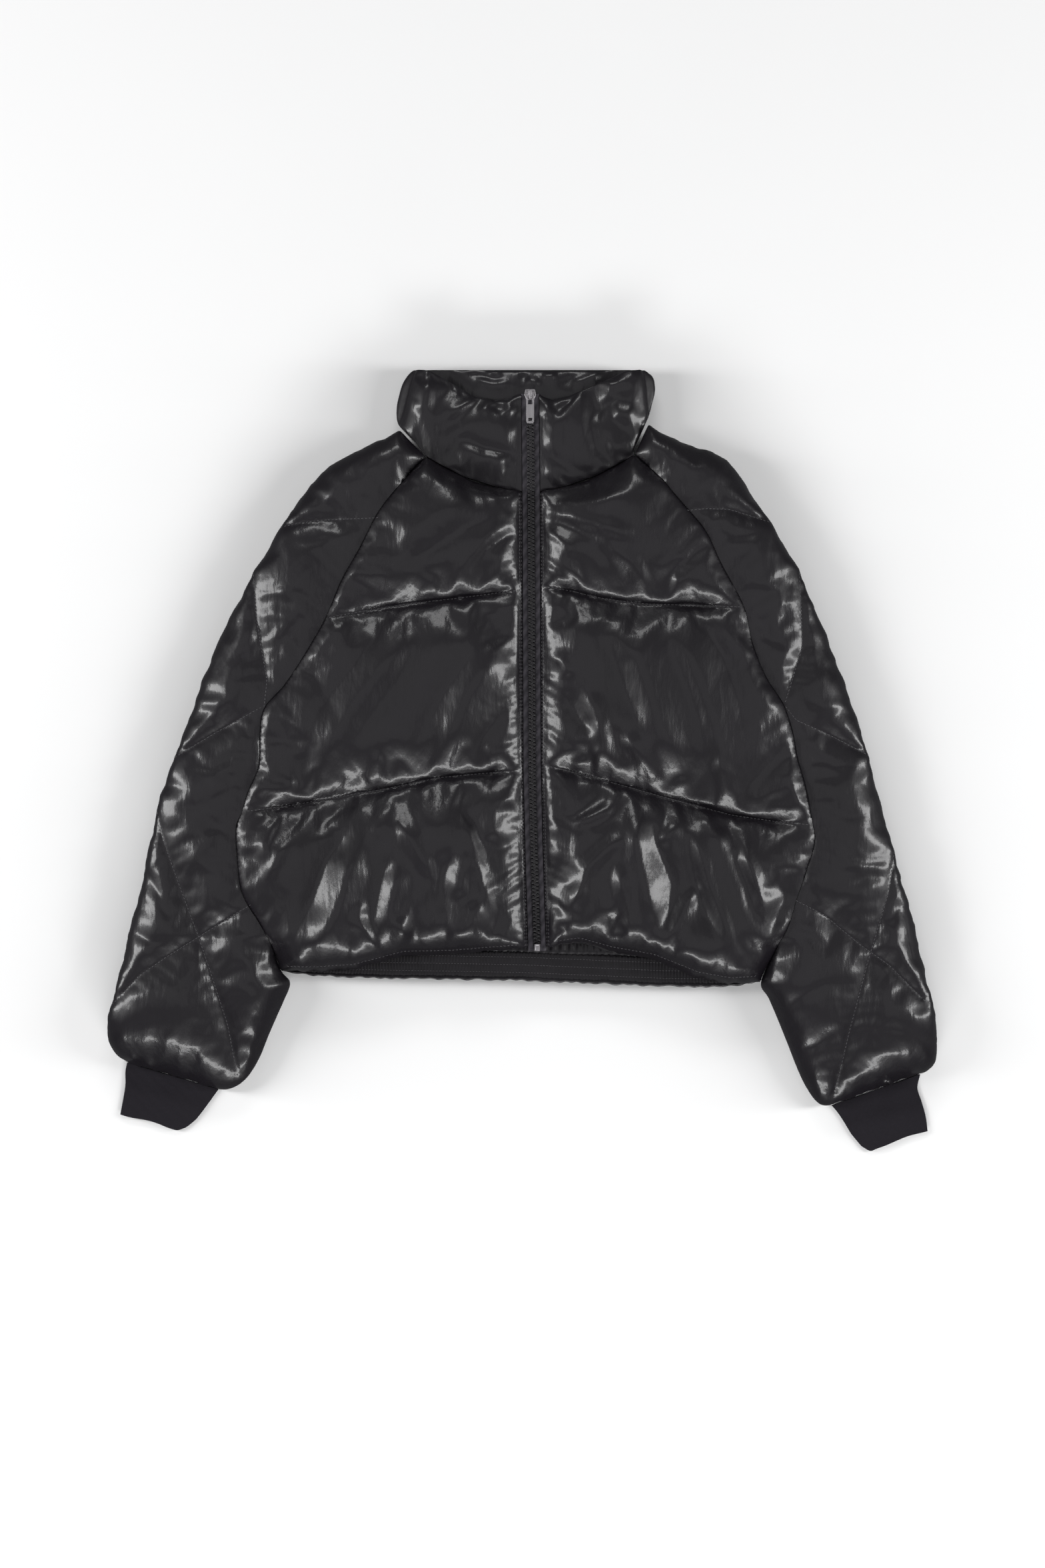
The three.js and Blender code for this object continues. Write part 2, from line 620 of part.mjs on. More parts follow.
function sleeve(half) {
  const atColumn = (t) => runOf(50, (s) => sleevePoint(half, s * CUFF_SEAM, t));
  const atRow = (row) => runOf(2, (t) => sleevePoint(half, row, t));
  const outline = [
    { run: atColumn(0), reach: SLEEVE_REACH.side },
    { run: atColumn(1), reach: SLEEVE_REACH.side },
    { run: atRow(0), reach: SLEEVE_REACH.neck },
    { run: atRow(CUFF_SEAM), reach: SLEEVE_REACH.wrist },
  ];
  const quilting = half.quilting.map((run) => ({
    run: run.map(([x, y]) => [half.side * x, y]),
    reach: SLEEVE_REACH.quilting,
  }));
  const lower = Array.from({ length: LOWER_STEPS }, (_, k) => HEM + (k + 1) / 2);
  const rows = [...BODY_ROWS, ...lower];
  const edge = SEAM_GAP / 2 + SEAM_EDGE;
  const top = rows.map((row) => crowded(SLEEVE_COLUMNS, 0.45).map((t) => {
    const [x, y] = sleevePoint(half, row, t);
    const lift = SLEEVE_LIFT * rounded(nearness(x, y, outline));
    const puff = SLEEVE_PUFF * softened(nearness(x, y, [...outline, ...quilting]));
    const side = held(sideRise(row), t * sleeveLength(half, row));
    const neck = held(NECK_RISE, nearestOf(x, y, [outline[2].run]));
    const quilt = held(QUILT_RISE, nearestOf(x, y, quilting.map(({ run }) => run)), QUILT_SPREAD);
    const seam = Math.max(side, neck, quilt);
    const height = lifted(seam, lift + puff, SLEEVE_LIFT + SLEEVE_PUFF);
    return new THREE.Vector3(x, y, middleHeight(row) + edge + height);
  }));
  const bottom = rows.map((row) => {
    const length = sleeveLength(half, row);
    const near = UNDER_INSETS.map((inset) => Math.min(inset, length * 0.48) / length);
    return [...near, ...near.map((s) => 1 - s).reverse()].map((t) => {
      const [x, y] = sleevePoint(half, row, t);
      const drop = SLEEVE_DEPTH * rounded(nearness(x, y, outline));
      return new THREE.Vector3(x, y, Math.max(middleHeight(row) - edge - drop, 0));
    });
  });
  return cutAway(shell(top, bottom), sleeveSlit(half));
}

function sleeveSlit(half) {
  const open = [-0.12, 0, 1, 2, 3, 4, 5, 6, 7, UNDERARM - 0.15];
  const closed = Array.from({ length: CUFF_SEAM - UNDERARM }, (_, k) => UNDERARM + 1 + k);
  const rows = [...open, UNDERARM + 0.15, ...closed, CUFF_SEAM + 0.2];
  const layer = (lift) => rows.map((row) => {
    const length = sleeveLength(half, clamp(row, 0, CUFF_SEAM));
    const start = row < UNDERARM ? -2 / length : SLEEVE_FOLD / length;
    return [start, 1 - SLEEVE_FOLD / length].map((t) => {
      const [x, y] = sleevePoint(half, row, t);
      return new THREE.Vector3(x, y, middleHeight(row) + lift);
    });
  });
  return shell(layer(SEAM_GAP / 2), layer(-SEAM_GAP / 2));
}

// Cuffs: smooth knitted tubes pressed flat, open at both ends.
function cuff(half) {
  const point = (row, t) => [
    half.side * lerp(follow(half.cuff, "edgeX", row), follow(half.cuff, "outX", row), t),
    lerp(follow(half.cuff, "edgeY", row), follow(half.cuff, "outY", row), t),
  ];
  const rows = Array.from({ length: 2 * CUFF_ROWS + 1 }, (_, k) => k / 2);
  const rim = [0, 1].map((t) => ({ run: runOf(8, (s) => point(s * CUFF_ROWS, t)), reach: CUFF_ROUND }));
  const steps = [0, 0.015, 0.04, 0.3, 0.7, 0.96, 0.985, 1];
  const layer = (sign) => rows.map((row) => steps.map((t) => {
    const [x, y] = point(row, t);
    const roll = CUFF_ROLL * (1 - rounded(nearness(x, y, rim)));
    return new THREE.Vector3(x, y, CUFF_HEIGHT / 2 + sign * (CUFF_HEIGHT / 2 - roll));
  }));
  const slitLayer = (sign) => [-0.1, 1, 2, 3, 4.1].map((row) => {
    const [a, b] = [point(row, 0), point(row, 1)];
    const length = Math.hypot(a[0] - b[0], a[1] - b[1]);
    return [CUFF_SIDE / length, 1 - CUFF_SIDE / length].map((t) => {
      const [x, y] = point(row, t);
      return new THREE.Vector3(x, y, CUFF_HEIGHT / 2 + (sign * CUFF_SLIT) / 2);
    });
  });
  return cutAway(shell(layer(1), layer(-1)), shell(slitLayer(1), slitLayer(-1)));
}

// Collar: one padded stand from zip to zip, folded flat at both sides of the neck.
const COLLAR_HEIGHTS = [0, 0.05, 0.14, 0.3, 0.5, 0.7, 0.86, 0.95, 1];
function collar() {
  const frontStations = (half) => FRONT_NECK_STEPS.map((t, k) => {
    const [x, y] = frontPoint(half, 0, t);
    const [topX, topY] = half.collar[k];
    const neckX = half.side * x;
    const neckY = y + 2 * SEAM_GAP;
    return { neckX, neckY, topX, topY, turn: 0, puff: FRONT_PUFF_SHARES[k] };
  });
  const stations = (half) => [...frontStations(half), ...half.collarFold].map((station) =>
    ({ ...station, side: half.side, neckSlope: half.neckSlope }));
  const all = [...stations(HALVES.right), ...stations(HALVES.left).slice(0, -1).reverse()];
  const place = (station, v, off) => {
    const turn = THREE.MathUtils.degToRad(station.turn);
    const aside = off * Math.sin(turn);
    const topX = station.topX + (station.turn === 0 ? station.side * zipX(station.topY) : 0);
    const y = lerp(station.neckY, station.topY, v) + aside * (1 - v) * station.neckSlope;
    const inside = lerp(FRONT_INSIDE, BACK_LOFT, station.turn / 180);
    const height = Math.max(inside + off * Math.cos(turn), 0);
    return new THREE.Vector3(station.side * (lerp(station.neckX, topX, v) + aside), y, height);
  };
  const loft = (station, v) => {
    const full = (station.turn > 90 ? COLLAR_DEPTH : COLLAR_PUFF) * station.puff;
    const seam = v < 0.5 ? NECK_RISE : COLLAR_TOP_RISE;
    return SEAM_EDGE + seam + (full - seam) * rounded(Math.min(v, 1 - v) / 0.4);
  };
  const outer = all.map((station) => COLLAR_HEIGHTS.map((v) => place(station, v, loft(station, v))));
  const inner = all.map((station) => [0, 1].map((v) => place(station, v, 0)));
  return shell(outer, inner);
}

// Zip: two woven tapes side by side under the row of teeth.
function tape(half) {
  const stations = runOf(12, (s) => lerp(ZIP_BOTTOM, ZIP_TOP, s));
  const across = [SEAM_GAP / 2, TAPE_HALF];
  const point = (x, y, z) => new THREE.Vector3(zipX(y) + half.side * x, y, z);
  const layer = (z) => stations.map((y) => across.map((x) => point(x, y, z)));
  return shell(layer(TAPE_TOP), layer(TAPE_FLOOR));
}

function block(width, length, height, x, y, floor) {
  return new THREE.BoxGeometry(width, length, height).translate(x, y, floor + height / 2);
}

// Slider: a body that narrows towards its nose, with a bridge for the pull.
const SLIDER_Y = ZIP_TOP - SLIDER.length / 2 + 4;
const SLIDER_X = zipX(SLIDER_Y);
const SLIDER_FLOOR = TAPE_TOP + SEAM_GAP;
const SLIDER_TOP = SLIDER_FLOOR + SLIDER.height;
const HINGE_Z = SLIDER_TOP + BRIDGE.gap / 2;
function slider() {
  const [w, n, l, c] = [SLIDER.width / 2, SLIDER.noseWidth / 2, SLIDER.length / 2, SLIDER.corner];
  const outline = [[-w, l - c], [-w, 0], [-n, -l], [n, -l], [w, 0], [w, l - c], [w - c, l], [c - w, l]];
  const shape = new THREE.Shape(outline.map(([x, y]) => new THREE.Vector2(x, y)));
  const body = new THREE.ExtrudeGeometry(shape, {
    depth: SLIDER.height - 1.4,
    bevelThickness: 0.7,
    bevelSize: 0.7,
    bevelOffset: -0.7,
    bevelSegments: 2,
  }).translate(SLIDER_X, SLIDER_Y, SLIDER_FLOOR + 0.7);
  const root = SLIDER_TOP - BRIDGE.root;
  const rise = BRIDGE.root + BRIDGE.gap + BRIDGE.wall;
  const arch = block(BRIDGE.width, BRIDGE.length, rise, SLIDER_X, SLIDER_Y, root);
  const opening = BRIDGE.length - 2 * BRIDGE.wall;
  const hollow = block(BRIDGE.width + 1, opening, BRIDGE.gap, SLIDER_X, SLIDER_Y, SLIDER_TOP);
  return joined(body, cutAway(arch, hollow));
}

// Pull: a flat tab with a long ring round the bridge and a small window near its free end.
function pull() {
  const y = SLIDER_Y - PULL.length / 2 + PULL.bar / 2;
  const floor = HINGE_Z - PULL.thick / 2;
  const top = SLIDER_Y + PULL.bar / 2;
  const plate = block(PULL.width, PULL.length, PULL.thick, SLIDER_X, y, floor);
  const through = (width, length, from) =>
    block(width, length, PULL.thick + 2, SLIDER_X, top - from - length / 2, floor - 1);
  const ring = through(PULL.width - 2 * PULL.rail, PULL.ring, PULL.bar);
  const window = through(PULL.windowWidth, PULL.window, PULL.length - PULL.window - PULL.end);
  return cutAway(plate, ring, window);
}

// Bottom box: holds the two tapes together at the lower end of the chain.
function zipBox() {
  const y = ZIP_BOTTOM + BOX.length / 2;
  return block(BOX.width, BOX.length, BOX.height, zipX(0), y, TAPE_TOP + SEAM_GAP);
}

const NYLON = { color: 0x232124, roughness: 0.28, metalness: 0 };
const KNIT = { color: 0x28252c, roughness: 0.95, metalness: 0 };
const WOVEN = { color: 0x38363a, roughness: 0.85, metalness: 0 };
const METAL = { color: 0x7d7b7d, roughness: 0.32, metalness: 1 };

const PIECES = [
  ["front_right", front(HALVES.right), NYLON],
  ["front_left", front(HALVES.left), NYLON],
  ["back", back(), NYLON],
  ["sleeve_right", sleeve(HALVES.right), NYLON],
  ["sleeve_left", sleeve(HALVES.left), NYLON],
  ["collar", collar(), NYLON],
  ["cuff_right", cuff(HALVES.right), KNIT],
  ["cuff_left", cuff(HALVES.left), KNIT],
  ["hem_elastic", elastic(), WOVEN],
  ["zip_tape_right", tape(HALVES.right), WOVEN],
  ["zip_tape_left", tape(HALVES.left), WOVEN],
  ["zip_slider", slider(), METAL],
  ["zip_pull", pull(), METAL],
  ["zip_box", zipBox(), METAL],
];

const jacket = new THREE.Group();
jacket.name = "puffer_jacket";
for (const [name, geometry, finish] of PIECES) {
  const mesh = new THREE.Mesh(geometry, new THREE.MeshStandardMaterial(finish));
  mesh.name = name;
  jacket.add(mesh);
}
const box = new THREE.Box3().setFromObject(jacket, true);
const middle = box.getCenter(new THREE.Vector3());
for (const mesh of jacket.children) {
  mesh.geometry.translate(-middle.x, -middle.y, -box.min.z);
  mesh.geometry.computeVertexNormals();
}

export default jacket;
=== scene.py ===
"""Looks of a black wet-look puffer jacket that lies flat on its back with its front up.

The tables hold the cut as it lies, in millimetres from the lower end of the zip, x outward on each
half. One millimetre is 1/0.65 of a photograph pixel. Every piece is built in the row frame.
"""
import math

import bmesh
import bpy
import numpy as np
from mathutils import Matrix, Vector, kdtree
from mathutils.bvhtree import BVHTree
from mathutils.geometry import delaunay_2d_cdt


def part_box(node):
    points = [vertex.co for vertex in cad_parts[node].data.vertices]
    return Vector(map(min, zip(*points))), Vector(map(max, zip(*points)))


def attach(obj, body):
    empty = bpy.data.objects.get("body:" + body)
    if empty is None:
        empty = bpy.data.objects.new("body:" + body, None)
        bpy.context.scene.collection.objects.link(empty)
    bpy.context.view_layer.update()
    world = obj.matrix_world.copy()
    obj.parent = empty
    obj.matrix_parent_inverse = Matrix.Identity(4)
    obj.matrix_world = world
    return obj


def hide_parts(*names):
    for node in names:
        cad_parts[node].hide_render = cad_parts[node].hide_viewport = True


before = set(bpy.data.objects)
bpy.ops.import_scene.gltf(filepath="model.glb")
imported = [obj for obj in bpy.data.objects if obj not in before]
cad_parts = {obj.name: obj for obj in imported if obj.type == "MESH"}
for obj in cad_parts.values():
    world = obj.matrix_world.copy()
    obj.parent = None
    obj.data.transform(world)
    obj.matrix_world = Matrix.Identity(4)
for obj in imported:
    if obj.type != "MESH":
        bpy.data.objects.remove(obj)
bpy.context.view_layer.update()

MM = 0.001

# Sizes of the garment, mm
SEAM_GAP, SEAM_EDGE = 0.3, 3.0
BACK_LOFT, BACK_EDGE = 26.0, 6.5
FRONT_INSIDE = BACK_LOFT + SEAM_GAP
FRONT_LIFT, FRONT_PUFF = 9.0, 27.0
SLEEVE_LIFT, SLEEVE_PUFF, SLEEVE_DEPTH = 15.0, 15.0, 28.0
COLLAR_PUFF, COLLAR_DEPTH = 14.0, 26.0
SIDE_RISE, ZIP_RISE, NECK_RISE, QUILT_RISE = 27.0, 20.0, 12.0, 12.0  # how high seams are held up
SEAM_SPREAD, QUILT_SPREAD = 40.0, 26.0  # how far into the panel that reaches
SEAM_BLEND = 3.4  # how sharply the reaches of two seams meet
COLLAR_TOP_RISE = 7.0
CUFF_END_MIDDLE = 3.2
TAPE_HALF, TAPE_FLOOR, TAPE_BOW = 8.75, 36.6, 5.0  # the padding bows the zip up between its ends
ZIP_TOP, ZIP_BOTTOM = 543.0, -1.0
ZIP_WELT = 1.8  # flat strip that the topstitching holds down beside the tape
CLOTH_STEP = 4.0  # side of a cloth triangle before it is subdivided
CREASE_HEIGHT = 0.18
STITCH_PITCH, STITCH_LENGTH = 3.6, 2.5

# Rows of each half: raglan or side seam (x, y), zip (y), outer fold of the sleeve (x, y).
RIGHT_ROWS = [
    (105, 481, 447, 131, 508), (129, 454, 434, 168, 491), (151, 426, 416, 203, 471),
    (169, 391, 395, 236, 431), (186, 361, 374, 260, 393), (202, 323, 351, 284, 351),
    (221, 290, 318, 309, 302), (242, 258, 286, 327, 258), (262, 235, 260, 339, 223),
    (266, 205, 232, 349, 198), (267, 179, 208, 358, 174), (278, 153, 187, 365, 151),
    (283, 135, 175, 370, 130), (289, 120, 156, 374, 114), (288, 91, 124, 380, 88),
    (283, 55, 84, 387, 54), (266, 26, 52, 395, 23), (255, 5, 26, 400, -1),
    (246, -21, 2, 406, -24), (237, -32, 0, 413, -51), (244, -51, 0, 417, -72),
    (256, -78, 0, 417, -88), (268, -107, 0, 414, -99), (281, -127, 0, 408, -106),
    (296, -137, 0, 404, -109), (309, -138, 0, 399, -112),
]
LEFT_ROWS = [
    (99, 483, 447, 113, 514), (124, 460, 434, 151, 495), (140, 441, 419, 187, 482),
    (167, 409, 398, 218, 442), (183, 376, 377, 244, 403), (205, 334, 355, 265, 362),
    (213, 299, 322, 281, 322), (227, 265, 286, 298, 281), (243, 240, 260, 312, 247),
    (252, 214, 236, 321, 218), (257, 187, 214, 330, 185), (265, 159, 197, 338, 156),
    (272, 122, 181, 347, 122), (274, 106, 161, 352, 102), (266, 78, 128, 360, 75),
    (257, 52, 91, 367, 47), (248, 23, 58, 375, 18), (237, 2, 32, 381, -6),
    (222, -32, 2, 388, -36), (229, -46, 0, 393, -58), (238, -66, 0, 396, -80),
    (249, -93, 0, 397, -98), (261, -123, 0, 395, -111), (272, -143, 0, 391, -118),
    (282, -153, 0, 386, -123), (293, -153, 0, 380, -123),
]
UPPER_SEAM, LOWER_SEAM, HEM, CUFF_SEAM = 5, 12, 18, 25

# Bow of the neck, upper, lower and hem seams off their chords, from zip (0) to edge (1).
RIGHT_BOW = [
    (0, 0, 0, 0, 0), (0.15, -3, 0.5, 3, 0), (0.3, -5, 1, 5, 0), (0.5, -7, 2, 1.5, 3.5),
    (0.7, -5, 2.5, 0.5, -5), (0.85, -3, 1.5, -1, -4), (1, 0, 0, 0, 0),
]
LEFT_BOW = [
    (0, 0, 0, 0, 0), (0.15, -3, -2, -1, 10), (0.3, -5, -6, -3, 6), (0.5, -7, -7, -6, 5),
    (0.7, -5, -4, -8, -6), (0.85, -3, -2, -5, -7), (1, 0, 0, 0, 0),
]
BACK_BOW = [(0, 0), (0.05, -3.5), (0.15, -5), (0.5, -4), (0.8, -6.5), (0.93, -5.5), (1, 0)]
ZIP_LINE = [(-3, 4), (90, 1), (175, -1), (432, -2), (548, -3)]

RIGHT_QUILTING = [
    [(150, 421), (176, 420), (203, 419), (228, 416), (247, 412)],
    [(273, 374), (270, 328), (266, 300), (259, 263), (262, 236)],
    [(356, 184), (309, 212), (264, 237)],
    [(368, 142), (360, 106), (345, 64), (326, 13), (313, -25), (298, -73), (289, -124)],
    [(411, -54), (384, -25), (358, -7), (326, 13), (294, 33), (274, 45)],
]
LEFT_QUILTING = [
    [(149, 428), (170, 430), (192, 429), (234, 416)],
    [(259, 376), (261, 333), (262, 295), (252, 263), (245, 241)],
    [(245, 238), (256, 224), (292, 208), (328, 189)],
    [(352, 97), (346, 56), (330, 2), (325, -14), (308, -80), (294, -146)],
    [(255, 49), (284, 34), (319, 5), (346, -14), (382, -50)],
]

# Folds of the fronts: height (down is a crease, up a ridge), half width, run.
RIGHT_FOLDS = [
    (8, 13, [(162, 119), (177, 86), (189, 46), (204, 12), (230, -6)]),
    (-7, 13, [(169, 128), (199, 89), (216, 46), (235, 9)]), (6, 11, [(127, 91), (137, 54), (150, 9)]),
    (-5, 11, [(139, 99), (150, 54), (160, 12)]), (4, 6, [(140, 136), (124, 116), (112, 94), (94, 65)]),
    (4, 6, [(75, 141), (62, 114), (55, 91), (47, 56), (37, 34)]),
    (5, 10, [(61, 101), (68, 76), (79, 46)]), (-5, 10, [(77, 106), (87, 74), (89, 24)]),
    (6, 10, [(16, 168), (27, 148), (37, 119), (41, 94)]), (4.5, 8, [(51, 56), (65, 21), (77, -1)]),
    (3.5, 6, [(246, 136), (259, 109), (262, 81)]), (3.5, 6, [(236, 111), (250, 86), (257, 66)]),
    (3.5, 6, [(164, 51), (177, 16)]), (4, 6, [(169, 34), (152, -1)]), (4, 7, [(133, 34), (124, 7)]),
    (-5, 9, [(112, 61), (117, 24), (114, -1)]), (4, 8, [(107, 61), (124, 29), (134, 4)]),
    (-4, 8, [(172, 151), (199, 128), (216, 111)]), (3, 8, [(132, 143), (147, 128), (157, 104)]),
    (4, 14, [(114, 320), (137, 285), (174, 238), (199, 193), (211, 161)]),
    (-4, 13, [(132, 332), (159, 298), (194, 250), (224, 208)]),
    (-4, 13, [(97, 335), (127, 268), (167, 213), (182, 178)]),
    (5, 13, [(15, 320), (40, 283), (65, 248), (84, 196), (92, 168)]),
    (-4, 14, [(50, 305), (89, 248), (124, 188)]), (-3, 12, [(17, 263), (42, 218), (62, 178)]),
    (3, 14, [(174, 325), (204, 303), (226, 275)]), (4, 6, [(147, 196), (159, 156)]),
    (4, 6, [(40, 203), (40, 173)]), (3.5, 6, [(233, 171), (241, 146)]),
    (3.5, 6, [(124, 183), (139, 161)]), (5, 8, [(12, 418), (31, 410), (49, 395), (70, 370), (78, 344)]),
    (4, 7, [(13, 407), (31, 393), (45, 373)]), (4, 7, [(15, 393), (31, 377), (43, 354)]),
    (3.5, 6, [(12, 375), (20, 358)]), (-5, 9, [(14, 412), (35, 399), (58, 379), (76, 360)]),
    (-4, 9, [(26, 429), (66, 412), (97, 391), (138, 368)]), (3, 16, [(56, 443), (97, 420), (143, 391)]),
    (-6, 10, [(105, 482), (80, 466), (49, 455), (14, 447)]),
    (4, 9, [(105, 474), (80, 458), (51, 447), (16, 439)]), (3, 8, [(95, 364), (109, 337)]),
    (3, 10, [(122, 464), (101, 468)]),
]
LEFT_FOLDS = [
    (8, 12, [(95, 147), (101, 114), (105, 82), (110, 56), (120, 34), (126, 8)]),
    (-8, 14, [(109, 140), (121, 99), (134, 66), (131, 31), (128, 1)]),
    (6, 8, [(83, 92), (87, 64), (92, 34), (97, 1)]), (-5, 8, [(76, 39), (81, 13)]),
    (5, 6, [(152, 127), (162, 94), (169, 66), (182, 34), (196, -2)]),
    (-6, 10, [(144, 125), (152, 92), (159, 59), (172, 26), (182, -2)]),
    (6, 6, [(198, 114), (210, 84), (220, 51), (229, 16)]),
    (-5, 9, [(187, 114), (200, 79), (210, 51), (220, 13)]), (4, 6, [(91, 114), (71, 97), (51, 77)]),
    (4, 6, [(81, 142), (61, 132), (38, 122)]), (4, 6, [(143, 125), (131, 112), (121, 99)]),
    (4, 6, [(167, 65), (152, 51), (137, 23), (126, 7)]), (-6, 12, [(235, 82), (243, 51), (231, 13)]),
    (4, 8, [(162, 140), (174, 114), (192, 99)]), (4, 8, [(63, 99), (46, 64), (28, 31)]),
    (4, 7, [(51, 72), (40, 41), (35, 13)]), (-5, 8, [(30, 99), (23, 64), (18, 31)]),
    (4, 13, [(66, 327), (101, 284), (121, 226), (142, 180), (157, 152)]),
    (-4, 13, [(51, 329), (78, 284), (94, 241), (111, 195)]),
    (4, 13, [(131, 329), (157, 276), (172, 226), (185, 185), (200, 137)]),
    (-4, 13, [(114, 329), (137, 284), (157, 236), (172, 190)]),
    (4, 13, [(174, 329), (207, 286), (225, 251), (233, 216)]),
    (-4, 12, [(157, 329), (185, 284), (202, 236), (212, 190)]),
    (5, 6, [(19, 291), (30, 279), (38, 261)]),
    (5, 10, [(44, 266), (61, 236), (71, 195), (83, 170), (100, 156)]),
    (-5, 9, [(28, 256), (48, 226), (61, 206)]), (5, 9, [(86, 216), (106, 185), (119, 165), (131, 151)]),
    (-5, 9, [(73, 226), (83, 200), (101, 175)]), (4, 6, [(62, 203), (66, 168)]),
    (4, 6, [(142, 170), (142, 152)]), (4, 6, [(174, 193), (187, 160), (200, 137)]),
    (4, 7, [(46, 188), (47, 175)]), (5, 16, [(243, 190), (255, 160), (270, 125)]),
    (4, 7, [(11, 430), (47, 417), (78, 408), (112, 398)]), (-5, 8, [(11, 424), (41, 411), (75, 398)]),
    (5, 7, [(11, 413), (28, 398), (45, 381)]), (4, 6, [(11, 395), (30, 378), (43, 363), (50, 348)]),
    (4, 6, [(11, 378), (24, 365), (34, 352)]), (-4, 9, [(52, 400), (75, 381), (93, 363), (104, 348)]),
    (4, 9, [(65, 400), (88, 381), (104, 363), (114, 344)]), (4, 6, [(138, 368), (145, 342)]),
    (-5, 9, [(11, 443), (47, 445), (78, 458), (104, 480)]), (3, 10, [(11, 439), (56, 436), (97, 447)]),
]
# Folds of the sleeves, the same way.
SLEEVE_RIGHT_FOLDS = [
    (-2.5, 5, [(192, 468), (206, 448), (214, 430)]),
    (-2.6, 5, [(188, 404), (214, 396), (246, 398)]),
    (2.4, 6, [(206, 380), (236, 350), (262, 344)]),
    (-2.6, 5, [(222, 330), (246, 300), (258, 270)]),
    (-2.4, 5, [(290, 330), (300, 300), (306, 268)]),
    (2.4, 6, [(282, 250), (306, 240), (330, 244)]),
    (-2.6, 6, [(282, 196), (312, 176), (344, 176)]),
    (-2.6, 6, [(292, 160), (318, 140), (352, 138)]),
    (2.4, 6, [(300, 120), (326, 96), (340, 70)]),
    (-2.6, 5, [(378, 80), (364, 50), (352, 20)]),
    (-2.4, 5, [(392, 20), (372, 8), (350, 12)]),
    (-2.6, 5, [(256, -50), (282, -30), (300, -2)]),
    (-2.6, 5, [(270, -96), (292, -76), (306, -50)]),
    (-2.6, 6, [(402, -80), (376, -64), (350, -62)]),
    (2.4, 6, [(396, -100), (360, -84), (332, -86)]),
    (-2.4, 5, [(340, -116), (338, -92), (326, -60)]),
]
SLEEVE_LEFT_FOLDS = [
    (-2.5, 5, [(156, 470), (176, 452), (188, 436)]),
    (-2.6, 5, [(172, 420), (196, 404), (226, 404)]),
    (2.4, 6, [(190, 390), (214, 360), (240, 350)]),
    (-2.6, 5, [(212, 330), (230, 304), (250, 290)]),
    (-2.4, 5, [(268, 330), (278, 296), (282, 262)]),
    (2.4, 6, [(258, 250), (282, 236), (306, 240)]),
    (-2.6, 6, [(262, 200), (290, 180), (318, 178)]),
    (-2.6, 6, [(276, 150), (302, 130), (330, 132)]),
    (2.4, 6, [(284, 108), (308, 84), (334, 78)]),
    (-2.6, 5, [(362, 60), (350, 30), (340, 4)]),
    (-2.4, 5, [(262, 20), (282, 2), (300, 0)]),
    (-2.6, 5, [(240, -60), (268, -40), (296, -30)]),
    (-2.6, 5, [(254, -100), (280, -90), (300, -70)]),
    (-2.6, 6, [(386, -90), (360, -76), (334, -76)]),
    (2.4, 6, [(380, -112), (346, -98), (318, -104)]),
    (-2.4, 5, [(322, -128), (324, -100), (318, -70)]),
]

RIGHT_CUFF = [
    (309.6, -138.6, 399.4, -112.5), (317, -149, 401, -121), (325, -160, 401, -134),
    (333, -170, 403, -147), (342, -179, 406, -163),
]
LEFT_CUFF = [
    (293.8, -154.4, 380.6, -124.2), (300, -162, 378, -137), (307, -173, 382, -150),
    (314, -185, 386, -164), (324, -200, 388, -179),
]
# Collar: share of the neck seam, upper edge of the right and left half, padding there.
COLLAR_FRONT = [
    (0, 9, 543, 9, 543, 0.95), (0.05, 13, 542, 13, 540, 1), (0.14, 22, 538, 22, 537, 1),
    (0.28, 35, 537, 38, 541, 1), (0.6, 56, 541, 62, 551, 1), (0.82, 78, 554, 80, 559, 1),
    (1, 97, 565, 92, 565, 1),
]
# Round the fold to the centre back: neck seam, upper edge, turn of the outer face, padding.
RIGHT_COLLAR_FOLD = [
    (115, 495.5, 103, 566, 0, 1), (116, 496.5, 104, 566.5, 45, 0.85),
    (116, 496.5, 104, 566.5, 90, 0.75), (116, 496.5, 104, 566.5, 135, 0.85),
    (115, 495.5, 103, 567, 180, 1), (104, 485, 92, 567, 180, 1),
    (60, 485, 55, 567, 180, 1), (0, 485, 0, 567, 180, 1),
]
LEFT_COLLAR_FOLD = [
    (97.5, 486.5, 95, 566, 0, 1), (98, 487.5, 96, 566.5, 45, 0.85),
    (98, 487.5, 96, 566.5, 90, 0.7), (98, 487.5, 96, 566.5, 135, 0.85),
    (97.5, 486.5, 95, 567, 180, 1), (90, 485, 84, 567, 180, 1),
    (55, 485, 50, 567, 180, 1), (0, 485, 0, 567, 180, 1),
]
RIGHT_COLLAR_FOLDS = [
    (4, 5, [(86, 520), (66, 532), (51, 540)]), (4, 4, [(48, 518), (47, 530), (32, 539)]),
    (4, 4, [(21, 520), (23, 532), (30, 541)]), (-3, 4, [(34, 522), (36, 535)]),
    (-3, 4, [(15, 518), (16, 538)]), (4, 10, [(112, 520), (104, 545), (100, 562)]),
    (-3, 9, [(98, 503), (84, 512), (66, 520)]), (-3, 8, [(80, 549), (92, 536), (98, 520)]),
    (3, 9, [(16, 472), (46, 480), (78, 492)]), (-3, 7, [(14, 482), (48, 490), (84, 503)]),
]
